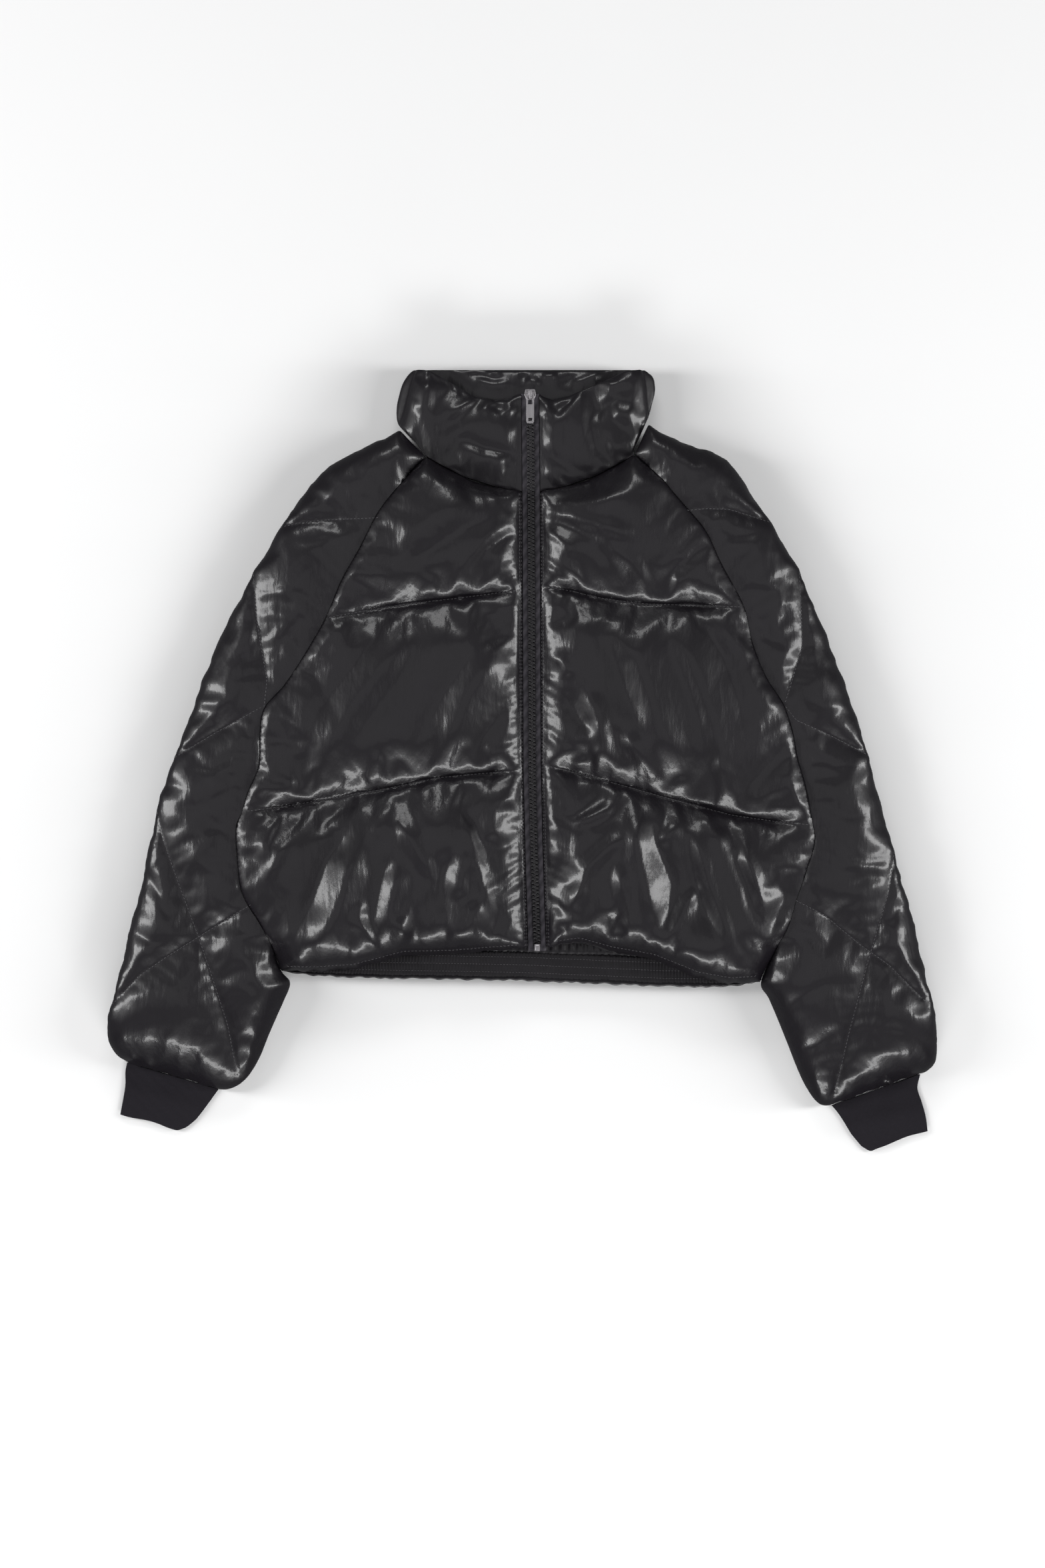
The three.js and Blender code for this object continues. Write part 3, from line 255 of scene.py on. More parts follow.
LEFT_COLLAR_FOLDS = [
    (4, 4, [(11, 518), (14, 527), (11, 540)]), (4, 4, [(35, 533), (31, 541), (19, 538)]),
    (-3, 4, [(24, 520), (26, 534)]), (-4, 5, [(57, 514), (66, 527), (76, 534), (89, 535)]),
    (5, 6, [(85, 512), (92, 521), (98, 531)]), (4, 5, [(78, 516), (84, 525), (84, 534)]),
    (-3, 6, [(10, 492), (24, 476), (45, 467), (66, 471)]), (3, 6, [(69, 490), (85, 492), (98, 500)]),
    (-3, 6, [(99, 545), (88, 547), (74, 544)]), (3, 6, [(96, 553), (84, 552), (70, 548)]),
]

# The inner face behind the zip: height, half width, run, x to the wearer's left.
COLLAR_INNER_FOLDS = [
    (2.5, 4, [(-7, 560), (2, 553), (8, 556)]), (-2, 4, [(-14, 563), (-4, 556)]),
    (2.5, 4, [(8, 560), (24, 562)]), (-2.5, 5, [(22, 552), (40, 558), (62, 565)]),
    (3, 5, [(34, 553), (57, 561), (70, 565)]), (2.5, 5, [(-58, 560), (-40, 552), (-18, 554)]),
    (-2.5, 5, [(-70, 564), (-48, 560), (-26, 558)]), (2.5, 4, [(-30, 563), (-46, 565)]),
]

HALVES = {
    "right": dict(side=-1, rows=RIGHT_ROWS, bow=RIGHT_BOW, quilting=RIGHT_QUILTING,
                  folds=RIGHT_FOLDS, sleeve_folds=SLEEVE_RIGHT_FOLDS,
                  cuff=RIGHT_CUFF, seed=3, collar_fold=RIGHT_COLLAR_FOLD,
                  collar_folds=RIGHT_COLLAR_FOLDS, neck_slope=1.05),
    "left": dict(side=1, rows=LEFT_ROWS, bow=LEFT_BOW, quilting=LEFT_QUILTING,
                 folds=LEFT_FOLDS, sleeve_folds=SLEEVE_LEFT_FOLDS,
                 cuff=LEFT_CUFF, seed=8, collar_fold=LEFT_COLLAR_FOLD,
                 collar_folds=LEFT_COLLAR_FOLDS, neck_slope=2.25),
}


# Reading the tables
def column(rows, key, value, at):
    """Straight interpolation of one column of a table against another."""
    rows = np.asarray(rows, float)
    return np.interp(at, rows[:, key], rows[:, value])


def along(rows, at):
    """All columns of a table on a smooth curve, at fractional rows."""
    rows, at = np.asarray(rows, float), np.atleast_1d(np.asarray(at, float))
    last = len(rows) - 1
    i = np.clip(np.floor(at).astype(int), 0, last - 1)
    t = (at - i)[:, None]
    a, b, c, d = (rows[np.clip(i + k, 0, last)] for k in (-1, 0, 1, 2))
    return b + 0.5 * t * (c - a + t * (2 * a - 5 * b + 4 * c - d + t * (3 * (b - c) + d - a)))


def zip_x(y):
    return column(ZIP_LINE, 0, 1, y)


zip_box_low, zip_box_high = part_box("zip_box")
OFFSET = np.array([
    float(zip_x(0.0)) - 500 * (zip_box_low[0] + zip_box_high[0]),
    2.3 - 500 * (zip_box_low[1] + zip_box_high[1]),
])


def even(run, step):
    """A run of points, spaced evenly about one step apart."""
    run = np.asarray(run, float)
    reach = np.concatenate([[0], np.cumsum(np.linalg.norm(np.diff(run, axis=0), axis=1))])
    count = max(int(round(reach[-1] / step)), 1)
    at = np.linspace(0, reach[-1], count + 1)
    return np.stack([np.interp(at, reach, run[:, k]) for k in range(run.shape[1])], axis=1)


def front_point(half, row, t):
    """Plan position on a front: row from neck to hem, t from zip to edge."""
    row, t = np.broadcast_arrays(np.asarray(row, float), np.asarray(t, float))
    edge_x, edge_y, zip_y = along(half["rows"], row.ravel())[:, :3].T
    start = zip_x(zip_y) + half["side"] * (TAPE_HALF + SEAM_GAP)
    bows = np.stack([column(half["bow"], 0, k, t.ravel()) for k in (1, 2, 3, 4)])
    stops = [0, UPPER_SEAM, LOWER_SEAM, HEM]
    bow = np.array([np.interp(r, stops, bows[:, i]) for i, r in enumerate(row.ravel())])
    x = start + (half["side"] * edge_x - start) * t.ravel()
    y = zip_y + (edge_y - zip_y) * t.ravel() + bow
    return np.stack([x, y], axis=1)


def sleeve_point(half, row, t):
    """Plan position on a sleeve: t from the raglan or inner edge to the outer fold."""
    row, t = np.broadcast_arrays(np.asarray(row, float), np.asarray(t, float))
    edge_x, edge_y, _, out_x, out_y = along(half["rows"], row.ravel()).T
    length = np.hypot(out_x - edge_x, out_y - edge_y)
    share = (SEAM_GAP * 1.6 + (length - SEAM_GAP * 1.6) * t.ravel()) / length
    x = half["side"] * (edge_x + (out_x - edge_x) * share)
    return np.stack([x, edge_y + (out_y - edge_y) * share], axis=1)


def back_point(row, t):
    """Plan position on the back: t from the wearer's right edge to the left."""
    row, t = np.broadcast_arrays(np.asarray(row, float), np.asarray(t, float))
    right, left = along(RIGHT_ROWS, row.ravel()), along(LEFT_ROWS, row.ravel())
    x = -right[:, 0] + (left[:, 0] + right[:, 0]) * t.ravel()
    y = right[:, 1] + (left[:, 1] - right[:, 1]) * t.ravel()
    bow = column(BACK_BOW, 0, 1, t.ravel()) * eased((row.ravel() - HEM + 2) / 2)
    return np.stack([x, y + bow], axis=1)


def span(start, stop, count=60):
    return np.linspace(start, stop, count)


def eased(share):
    """A share held between 0 and 1 that starts and stops softly."""
    share = np.clip(share, 0, 1)
    return share**2 * (3 - 2 * share)


# Distances and heights
def gap_to(points, run):
    """Distance from each point to a run, its place along the run in mm, and its side."""
    run = np.asarray(run, float)
    a, d = run[:-1], np.diff(run, axis=0)
    size = np.maximum((d**2).sum(1), 1e-9)
    starts = np.concatenate([[0], np.cumsum(np.sqrt(size))])
    best = np.full(len(points), 1e9)
    place, side = np.zeros(len(points)), np.ones(len(points))
    for k in range(len(a)):
        rel = points - a[k]
        t = np.clip(rel @ d[k] / size[k], 0, 1)
        off = rel - t[:, None] * d[k]
        far = np.hypot(off[:, 0], off[:, 1])
        nearer = far < best
        best = np.where(nearer, far, best)
        place = np.where(nearer, starts[k] + t * math.sqrt(size[k]), place)
        side = np.where(nearer, np.sign(d[k, 0] * rel[:, 1] - d[k, 1] * rel[:, 0]), side)
    return best, place, side, starts[-1]


def rounded(q):
    """Height of a quarter circle over its run from 0 to 1."""
    return np.sqrt(1 - (1 - np.clip(q, 0, 1)) ** 2)


def nearness(points, seams):
    """How far points are from all seams (run, reach, inset): 0 on a seam, about 1 at its reach."""
    total = np.zeros(len(points))
    for run, reach, inset in seams:
        total += (np.maximum(gap_to(points, run)[0] - inset, 0.001) / reach) ** -SEAM_BLEND
    return total ** (-1 / SEAM_BLEND)


def fold_heights(points, folds):
    """Heights that folds add: a rounded ridge, or a crease with a sharp bottom."""
    height = np.zeros(len(points))
    for rise, width, run in folds:
        far, place, _, length = gap_to(points, even(run, 8))
        ends = eased(3.2 * np.minimum(place, length - place) / length)
        power = 1.7 if rise > 0 else 1.15
        height += rise * ends * np.exp(-((far / (width * (0.45 + 0.55 * ends))) ** power))
    return height


def waves(points, size, seed, count=9):
    """Smooth wandering between -1 and 1, from plane waves of about one size in mm."""
    chance = np.random.default_rng(seed)
    total = np.zeros(len(points))
    for _ in range(count):
        angle, phase = chance.uniform(0, 2 * math.pi, 2)
        number = 2 * math.pi / (size * chance.uniform(0.7, 1.5))
        total += np.sin(number * (points @ np.array([math.cos(angle), math.sin(angle)])) + phase)
    return total / math.sqrt(count)


def gathers(points, run, seed, deep, lean=0.0, pitch=13.0, reach=15.0):
    """Gathers that leave a seam: small at its stitches, merging into fewer and longer folds."""
    chance = np.random.default_rng(seed)
    far, place, side, _ = gap_to(points, run)
    height = np.zeros(len(points))
    for octave, share in enumerate(deep):
        shift = chance.uniform(0, 100, 5)
        wide, long = pitch * 2**octave, reach * 2.3**octave
        turn = (place + lean * side * far) / wide + 0.55 * np.sin(place / (2.3 * wide) + shift[0])
        turn += 0.25 * np.sin(place / wide + shift[1] + side)
        turn += 0.12 * np.sin(far / (0.8 * long) + shift[2])
        tall = 0.6 + 0.4 * np.sin(place / (1.9 * wide) + shift[3] + 2 * side)
        length = long * (0.85 + 0.35 * np.sin(place / (1.4 * wide) + shift[4] + side))
        start = 1 - np.exp(-far / (0.16 * long))
        form = 2.1 * np.abs(np.cos(math.pi * turn)) ** 1.2 - 1.2
        height += share * tall * form * start * np.exp(-((far / length) ** 1.5))
    return height


# Meshes
def to_metres(points):
    """Points in the row frame, in metres, from points in mm from the lower end of the zip."""
    points = np.array(points, float)
    points[:, :2] -= OFFSET
    return points * MM


def mesh_piece(name, points, faces, material):
    """A new object at the origin from points in mm and faces."""
    mesh = bpy.data.meshes.new(name)
    mesh.from_pydata(to_metres(points).tolist(), [], [tuple(map(int, f)) for f in faces])
    mesh.validate()
    piece = bpy.data.objects.new(name, mesh)
    bpy.context.collection.objects.link(piece)
    mesh.polygons.foreach_set("use_smooth", [True] * len(mesh.polygons))
    mesh.materials.append(material)
    return piece


def vectors(mesh, kind):
    """The place ("co") or normal of every point of a mesh."""
    flat = np.zeros(len(mesh.vertices) * 3)
    mesh.vertices.foreach_get(kind, flat)
    return flat.reshape(-1, 3)


def read(mesh):
    """The points of a mesh in mm, from the lower end of the zip."""
    points = vectors(mesh, "co") / MM
    points[:, :2] += OFFSET
    return points


def write(piece, points):
    piece.data.vertices.foreach_set("co", to_metres(points).ravel())
    piece.data.update()


def inside(points, loop):
    """Which points lie inside a closed loop."""
    x, y = points.T
    within = np.zeros(len(points), bool)
    for (x1, y1), (x2, y2) in zip(loop, np.roll(loop, -1, axis=0)):
        crosses = (y1 > y) != (y2 > y)
        within ^= crosses & (x < (x2 - x1) * (y - y1) / (y2 - y1 + 1e-12) + x1)
    return within


def lattice(loop, runs, step):
    """Points of a triangular lattice inside a loop that keep off it and off some runs."""
    low, high = loop.min(0), loop.max(0)
    ys = np.arange(low[1], high[1], step * math.sqrt(3) / 2)
    lines = []
    for k, y in enumerate(ys):
        xs = np.arange(low[0] + (k % 2) * step / 2, high[0], step)
        lines.append(np.stack([xs, np.full(len(xs), y)], axis=1))
    points = np.concatenate(lines)
    points = points[inside(points, loop)]
    keep = np.ones(len(points), bool)
    for run in [np.vstack([loop, loop[:1]]), *runs]:
        keep &= gap_to(points, run)[0] > 0.55 * step
    return points[keep]


def cloth_faces(loop, runs, step):
    """Triangles that fill a loop and follow some runs inside it."""
    points, edges = [tuple(p) for p in loop], []
    count = len(points)
    edges += [(k, (k + 1) % count) for k in range(count)]
    for run in runs:
        first = len(points)
        points += [tuple(p) for p in run]
        edges += [(first + k, first + k + 1) for k in range(len(run) - 1)]
    points += [tuple(p) for p in lattice(loop, runs, step)]
    made = delaunay_2d_cdt([Vector(p) for p in points], edges, [], 1, 1e-3)
    corners = np.array([tuple(v) for v in made[0]])
    faces = np.array([tuple(f) for f in made[2]])
    a, b, c = (corners[faces[:, k]] for k in range(3))
    turned = (b[:, 0] - a[:, 0]) * (c[:, 1] - a[:, 1]) - (b[:, 1] - a[:, 1]) * (c[:, 0] - a[:, 0])
    faces = faces[np.abs(turned) > 1e-6]
    turned = turned[np.abs(turned) > 1e-6]
    faces[turned < 0] = faces[turned < 0][:, ::-1]
    return corners, faces


def rim_of(faces):
    """The ordered outer edge of some triangles."""
    sides = np.concatenate([faces[:, [0, 1]], faces[:, [1, 2]], faces[:, [2, 0]]])
    known = {tuple(s) for s in sides.tolist()}
    follow = {a: b for a, b in known if (b, a) not in known}
    start = next(iter(follow))
    ring = [start]
    while follow[ring[-1]] != start:
        ring.append(follow[ring[-1]])
    return ring


def pillow(name, loop, runs, top, under, under_step=9.0):
    """A closed pad: cloth that follows its seams above, and a coarser cloth below."""
    upper, upper_faces = cloth_faces(loop, runs, CLOTH_STEP)
    ring = rim_of(upper_faces)
    lower, lower_faces = cloth_faces(upper[ring], [], under_step)
    near = kdtree.KDTree(len(lower))
    for k, (x, y) in enumerate(lower):
        near.insert((x, y, 0), k)
    near.balance()
    partner = [near.find((*upper[k], 0))[1] for k in ring]
    first = len(upper)
    above = np.column_stack([upper, top(upper)])
    points = np.vstack([above, np.column_stack([lower, under(lower)])])
    faces = [tuple(f) for f in upper_faces]
    faces += [tuple(first + k for k in f[::-1]) for f in lower_faces]
    for k, at in enumerate(ring):
        after = (k + 1) % len(ring)
        faces.append((at, first + partner[k], first + partner[after], ring[after]))
    return mesh_piece(name, points, faces, NYLON), len(upper)


# Padding by cloth simulation
waiting = []


def stuff(piece, held, pressure, fullness, cap):
    """Gets a piece ready to be filled: held points stay, the rest may move by up to cap."""
    group = piece.vertex_groups.new(name="held")
    group.add([int(k) for k in np.flatnonzero(held)], 1.0, "REPLACE")
    cloth = piece.modifiers.new("padding", "CLOTH")
    settings = cloth.settings
    settings.quality = 5
    settings.mass = 0.02
    settings.air_damping = 3
    settings.tension_stiffness = 8
    settings.compression_stiffness = 8
    settings.shear_stiffness = 4
    settings.bending_stiffness = 0.05
    settings.use_pressure = True
    settings.uniform_pressure_force = pressure
    settings.shrink_min = -fullness
    settings.vertex_group_mass = "held"
    settings.effector_weights.gravity = 0
    cloth.collision_settings.use_collision = False
    cloth.collision_settings.use_self_collision = False
    waiting.append((piece, read(piece.data), held, cap))


def fill(frames):
    """Runs the simulation of all waiting pieces together and keeps the shapes."""
    scene = bpy.context.scene
    for number in range(1, frames + 1):
        scene.frame_set(number)
    dg = bpy.context.evaluated_depsgraph_get()
    for piece, start, held, cap in waiting:
        move = read(piece.evaluated_get(dg).data) - start
        far = np.linalg.norm(move, axis=1)
        limit = cap * np.tanh(far / cap) / np.maximum(far, 1e-6)
        move *= np.where(held, 0, limit)[:, None]
        piece.modifiers.clear()
        write(piece, start + move)
    scene.frame_set(1)
    waiting.clear()


def relax(piece, free):
    """Evens out points that the triangles alone made uneven, 0.3 of the way to their neighbours."""
    points = read(piece.data)
    edges = np.array([tuple(e.vertices) for e in piece.data.edges])
    for _ in range(3):
        total, count = np.zeros_like(points), np.zeros(len(points))
        np.add.at(total, edges[:, 0], points[edges[:, 1]])
        np.add.at(total, edges[:, 1], points[edges[:, 0]])
        np.add.at(count, edges.ravel(), 1)
        mean = total / np.maximum(count, 1)[:, None]
        points[free] += 0.3 * (mean[free] - points[free])
    write(piece, points)


def take(piece):
    """Makes a piece the only selected and the active one."""
    bpy.ops.object.select_all(action="DESELECT")
    piece.select_set(True)
    bpy.context.view_layer.objects.active = piece


def subdivide(piece, sewn):
    """Subdivides a piece; its edges between sewn points stay sharp, where it meets its neighbour."""
    ends = np.array([tuple(e.vertices) for e in piece.data.edges])
    crease = piece.data.attributes.new("crease_edge", "FLOAT", "EDGE")
    crease.data.foreach_set("value", np.where(sewn[ends].all(axis=1), 1.0, 0.0).astype(np.float32))
    take(piece)
    finer = piece.modifiers.new("finer", "SUBSURF")
    finer.levels = finer.render_levels = 1
    finer.boundary_smooth = "PRESERVE_CORNERS"
    bpy.ops.object.modifier_apply(modifier="finer")
    bpy.ops.object.shade_smooth_by_angle(angle=math.radians(62))


def along_normals(piece, amount):
    """Moves every point along its normal by its own amount in mm."""
    write(piece, read(piece.data) + vectors(piece.data, "normal") * amount[:, None])


# Materials
def linear(code):
    """Linear red, green, blue and alpha of an sRGB hex colour."""
    parts = [int(code[k:k + 2], 16) / 255 for k in (0, 2, 4)]
    return (*(p / 12.92 if p <= 0.04045 else ((p + 0.055) / 1.055) ** 2.4 for p in parts), 1.0)


def add_node(tree, kind, inputs=(), **settings):
    """One node with its settings. An input is linked where it is given a socket, else it is set."""
    made = tree.nodes.new(kind)
    for name, value in settings.items():
        setattr(made, name, value)
    for name, value in dict(inputs).items():
        if isinstance(value, bpy.types.NodeSocket):
            tree.links.new(value, made.inputs[name])
        else:
            made.inputs[name].default_value = value
    return made


def new_material(name, **shader_settings):
    """A material with one Principled shader whose plain sockets are set by name."""
    material = bpy.data.materials.new(name)
    material.use_nodes = True
    tree = material.node_tree
    shader = next(n for n in tree.nodes if n.type == "BSDF_PRINCIPLED")
    for socket, value in shader_settings.items():
        shader.inputs[socket.replace("_", " ")].default_value = value
    place = add_node(tree, "ShaderNodeTexCoord").outputs["Object"]
    return material, tree, shader, place


def noise(tree, place, size_mm, detail, **inputs):
    """Factor of a noise with one feature in so many millimetres."""
    settings = {name.replace("_", " "): value for name, value in inputs.items()}
    return add_node(tree, "ShaderNodeTexNoise", {
        "Vector": place, "Scale": 1000 / size_mm, "Detail": detail, **settings}).outputs["Fac"]


def threads(tree, place, size_mm, direction, distortion, **inputs):
    """Factor of parallel bands, 2 pi times the size apart along X or Y, and 9 times on the diagonal."""
    settings = {name.replace("_", " "): value for name, value in inputs.items()}
    return add_node(tree, "ShaderNodeTexWave", {
        "Vector": place, "Scale": 1000 / size_mm / 20, "Distortion": distortion, **settings,
    }, wave_type="BANDS", bands_direction=direction).outputs["Fac"]


def two_tones(tree, shader, factor, dark, light):
    """Lets the base colour wander between two sRGB colours."""
    colour = add_node(tree, "ShaderNodeMix", {
        "Factor": factor, "A": linear(dark), "B": linear(light)}, data_type="RGBA")
    tree.links.new(next(s for s in colour.outputs if s.type == "RGBA"), shader.inputs["Base Color"])


def relief(tree, shader, height, strength, deep_mm, under=None, sockets=("Normal",)):
    """Bump of a depth in mm, on top of an earlier one where that is given."""
    inputs = {"Height": height, "Strength": strength, "Distance": deep_mm * MM}
    if under:
        inputs["Normal"] = under
    normal = add_node(tree, "ShaderNodeBump", inputs).outputs["Normal"]
    for socket in sockets:
        tree.links.new(normal, shader.inputs[socket])
    return normal


def wet_look_nylon():
    """Polyester taffeta with a smooth polyurethane coat: black, and wet-looking in the light.

    The coat gives narrow bright highlights over a dark, softer sheen, and the thin cloth
    crinkles along its folds, so each highlight breaks into long streaks 2 to 8 mm wide.
    """
    material, tree, shader, place = new_material(
        "wet_look_coated_nylon", Roughness=0.45, IOR=1.45, Specular_IOR_Level=0.45,
        Coat_Weight=0.5, Coat_Roughness=0.17, Coat_IOR=1.45)
    along_folds = add_node(tree, "ShaderNodeMapping", {
        "Vector": place, "Rotation": (0, 0, 0.1), "Scale": (1.0, 0.28, 1.0)}).outputs["Vector"]
    broad = noise(tree, along_folds, 10, 2.0, Roughness=0.5, Distortion=0.5)
    fine = noise(tree, along_folds, 3.6, 3.0, Roughness=0.55)
    two_tones(tree, shader, noise(tree, place, 60, 3.0, Roughness=0.6), "0a070c", "120e15")
    crinkle = relief(tree, shader, broad, 0.45, 1.0, sockets=())
    relief(tree, shader, fine, 0.45, 0.5, crinkle, ("Normal", "Coat Normal"))
    return material


def fine_jersey():
    """Fine single jersey of combed cotton: matt, nearly black, with soft slanting bands 9 mm apart."""
    material, tree, shader, place = new_material(
        "charcoal_cotton_jersey", Roughness=0.95, Specular_IOR_Level=0.25)
    wales = threads(tree, place, 1.0, "DIAGONAL", 0.4, Detail=1.0, Detail_Scale=3.0)
    fuzz = noise(tree, place, 2.2, 4.0)
    two_tones(tree, shader, fuzz, "18161b", "201d23")
    both = add_node(tree, "ShaderNodeMath", {0: wales, 1: fuzz}).outputs[0]
    relief(tree, shader, both, 0.5, 0.3)
    return material


def ribbed_elastic():
    """Woven elastic of covered rubber and polyester: dull black, cross ribs with a faint lustre."""
    material, tree, shader, place = new_material(
        "ribbed_woven_elastic", Roughness=0.75, Specular_IOR_Level=0.3)
    two_tones(tree, shader, noise(tree, place, 9, 3.0), "121013", "1f1d21")
    relief(tree, shader, threads(tree, place, 1.2, "Y", 0.5, Detail=2.0), 0.4, 0.25)
    return material


def woven_tape():
    """Woven polyester zip tape: flat charcoal, in slanting bands 7.5 mm apart.

    The bands stand for its herringbone and are much wider than the real threads.
    """
    material, tree, shader, place = new_material(
        "woven_polyester_tape", Roughness=0.78, Specular_IOR_Level=0.3)
    turned = add_node(tree, "ShaderNodeMapping", {"Vector": place, "Rotation": (0, 0, math.radians(35))})
    rows = threads(tree, turned.outputs["Vector"], 1.2, "X", 0.3)
    two_tones(tree, shader, rows, "353338", "4b484e")
    relief(tree, shader, rows, 0.4, 0.2)
    return material


def moulded_teeth():
    """Injection-moulded acetal teeth: black, smooth, with a soft satin shine."""
    material, tree, shader, place = new_material(
        "moulded_acetal_teeth", Base_Color=linear("1d1b1e"), Roughness=0.36, IOR=1.48)
    relief(tree, shader, noise(tree, place, 0.8, 2.0), 0.15, 0.1)
    return material


def gunmetal():
    """Die-cast zinc with a gunmetal plating: dark, bright at its edges, finely tumbled."""
    material, tree, shader, place = new_material(
        "gunmetal_plated_zinc", Base_Color=linear("a5a2a5"), Metallic=0.85, Roughness=0.42)
    wear = noise(tree, place, 3, 4.0)
    rough = add_node(tree, "ShaderNodeMapRange", {"Value": wear, "To Min": 0.36, "To Max": 0.5})
    tree.links.new(rough.outputs["Result"], shader.inputs["Roughness"])
    relief(tree, shader, wear, 0.2, 0.1)
    return material


def polyester_thread():
    """Bright core-spun polyester sewing thread: black, twisted, glinting along each stitch."""
    material, tree, shader, place = new_material(
        "glossy_polyester_thread", Base_Color=linear("3b393d"), Roughness=0.38, Sheen_Weight=0.2)
    relief(tree, shader, noise(tree, place, 0.5, 2.0), 0.3, 0.1)
    return material


def matt_paper():
    """Matt white background paper, very slightly uneven."""
    material, tree, shader, place = new_material("matt_white_paper", Roughness=0.9)
    two_tones(tree, shader, noise(tree, place, 500, 2.0), "f3f3f3", "f7f7f7")
    return material


NYLON, JERSEY, ELASTIC, TAPE = wet_look_nylon(), fine_jersey(), ribbed_elastic(), woven_tape()
TEETH, METAL, THREAD = moulded_teeth(), gunmetal(), polyester_thread()


def finished(piece, slot, *nodes, body="jacket"):
    """Lets a piece ride with its body and, where it stands for CAD nodes, hides them."""
    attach(piece, body)
    if nodes:
        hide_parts(*nodes)
    return piece


# Fronts
def ruffled(run, seed, deep, pitch):
    """A seam whose edge waves in and out of its line, as gathers leave it."""
    run = even(run, 2.0)
    ahead = np.gradient(run, axis=0)
    across = np.stack([-ahead[:, 1], ahead[:, 0]], axis=1) / np.linalg.norm(ahead, axis=1)[:, None]
    reach = np.arange(len(run)) * 2.0
    turn = 2 * math.pi * reach / pitch + seed
    wave = np.sin(turn + 1.7 * np.sin(turn / 3.7)) + 0.6 * np.sin(turn / 1.9 + 1.3 * np.sin(turn / 5.3))
    ends = np.clip(np.minimum(reach, reach[-1] - reach) / 12, 0, 1)
    return run + across * (deep * wave * ends)[:, None]


def closed_loop(*runs):
    return np.vstack([even(run, CLOTH_STEP)[:-1] for run in runs])


def near_any(points, runs, reach):
    near = np.zeros(len(points), bool)
    for run in runs:
        near |= gap_to(points, run)[0] < reach
    return near


def mirrored(half, folds):
    return [(rise, width, [(half["side"] * x, y) for x, y in run]) for rise, width, run in folds]


def row_finder(place, last):
    """Reads the row that a plan position falls on, from the nearest known positions."""
    rows, shares = np.meshgrid(span(0, last, 160), span(0, 1, 18))
    known, number = place(rows, shares), rows.ravel()

    def find(points):
        found = np.zeros(len(points))
        for first in range(0, len(points), 500):
            here = points[first:first + 500]
            apart = known[None] - here[:, None]
            far = (apart**2).sum(2)
            near = np.argpartition(far, 9, axis=1)[:, :9]
            weight = 1 / (np.take_along_axis(far, near, 1) + 2)
            shift = np.take_along_axis(apart, near[:, :, None], 1)
            base = np.concatenate([np.ones((*near.shape, 1)), shift], axis=2)
            moment = np.einsum("nk,nki,nkj->nij", weight, base, base) + 1e-4 * np.eye(3)
            total = np.einsum("nk,nki,nk->ni", weight, base, number[near])
            found[first:first + 500] = np.linalg.solve(moment, total[:, :, None])[:, 0, 0]
        return np.clip(found, 0, last)

    return find


def held_up(rise, far, spread=SEAM_SPREAD):
    """Height of the cloth where a seam holds it up, falling off into the panel."""
    return rise * np.exp(-((far / spread) ** 2))


def side_rise(row):
    """How high the raglan seam, and below it the side of the body, holds the cloth at a row."""
    return SIDE_RISE * np.interp(row, [0, 1.2, 16.5, HEM, HEM + 1], [0.5, 1, 1, 0.2, 0])


def lifted(seam, height, full):
    """Padding that starts from the height of a seam and still ends at its full height."""
    return seam + height * (1 - seam / full)


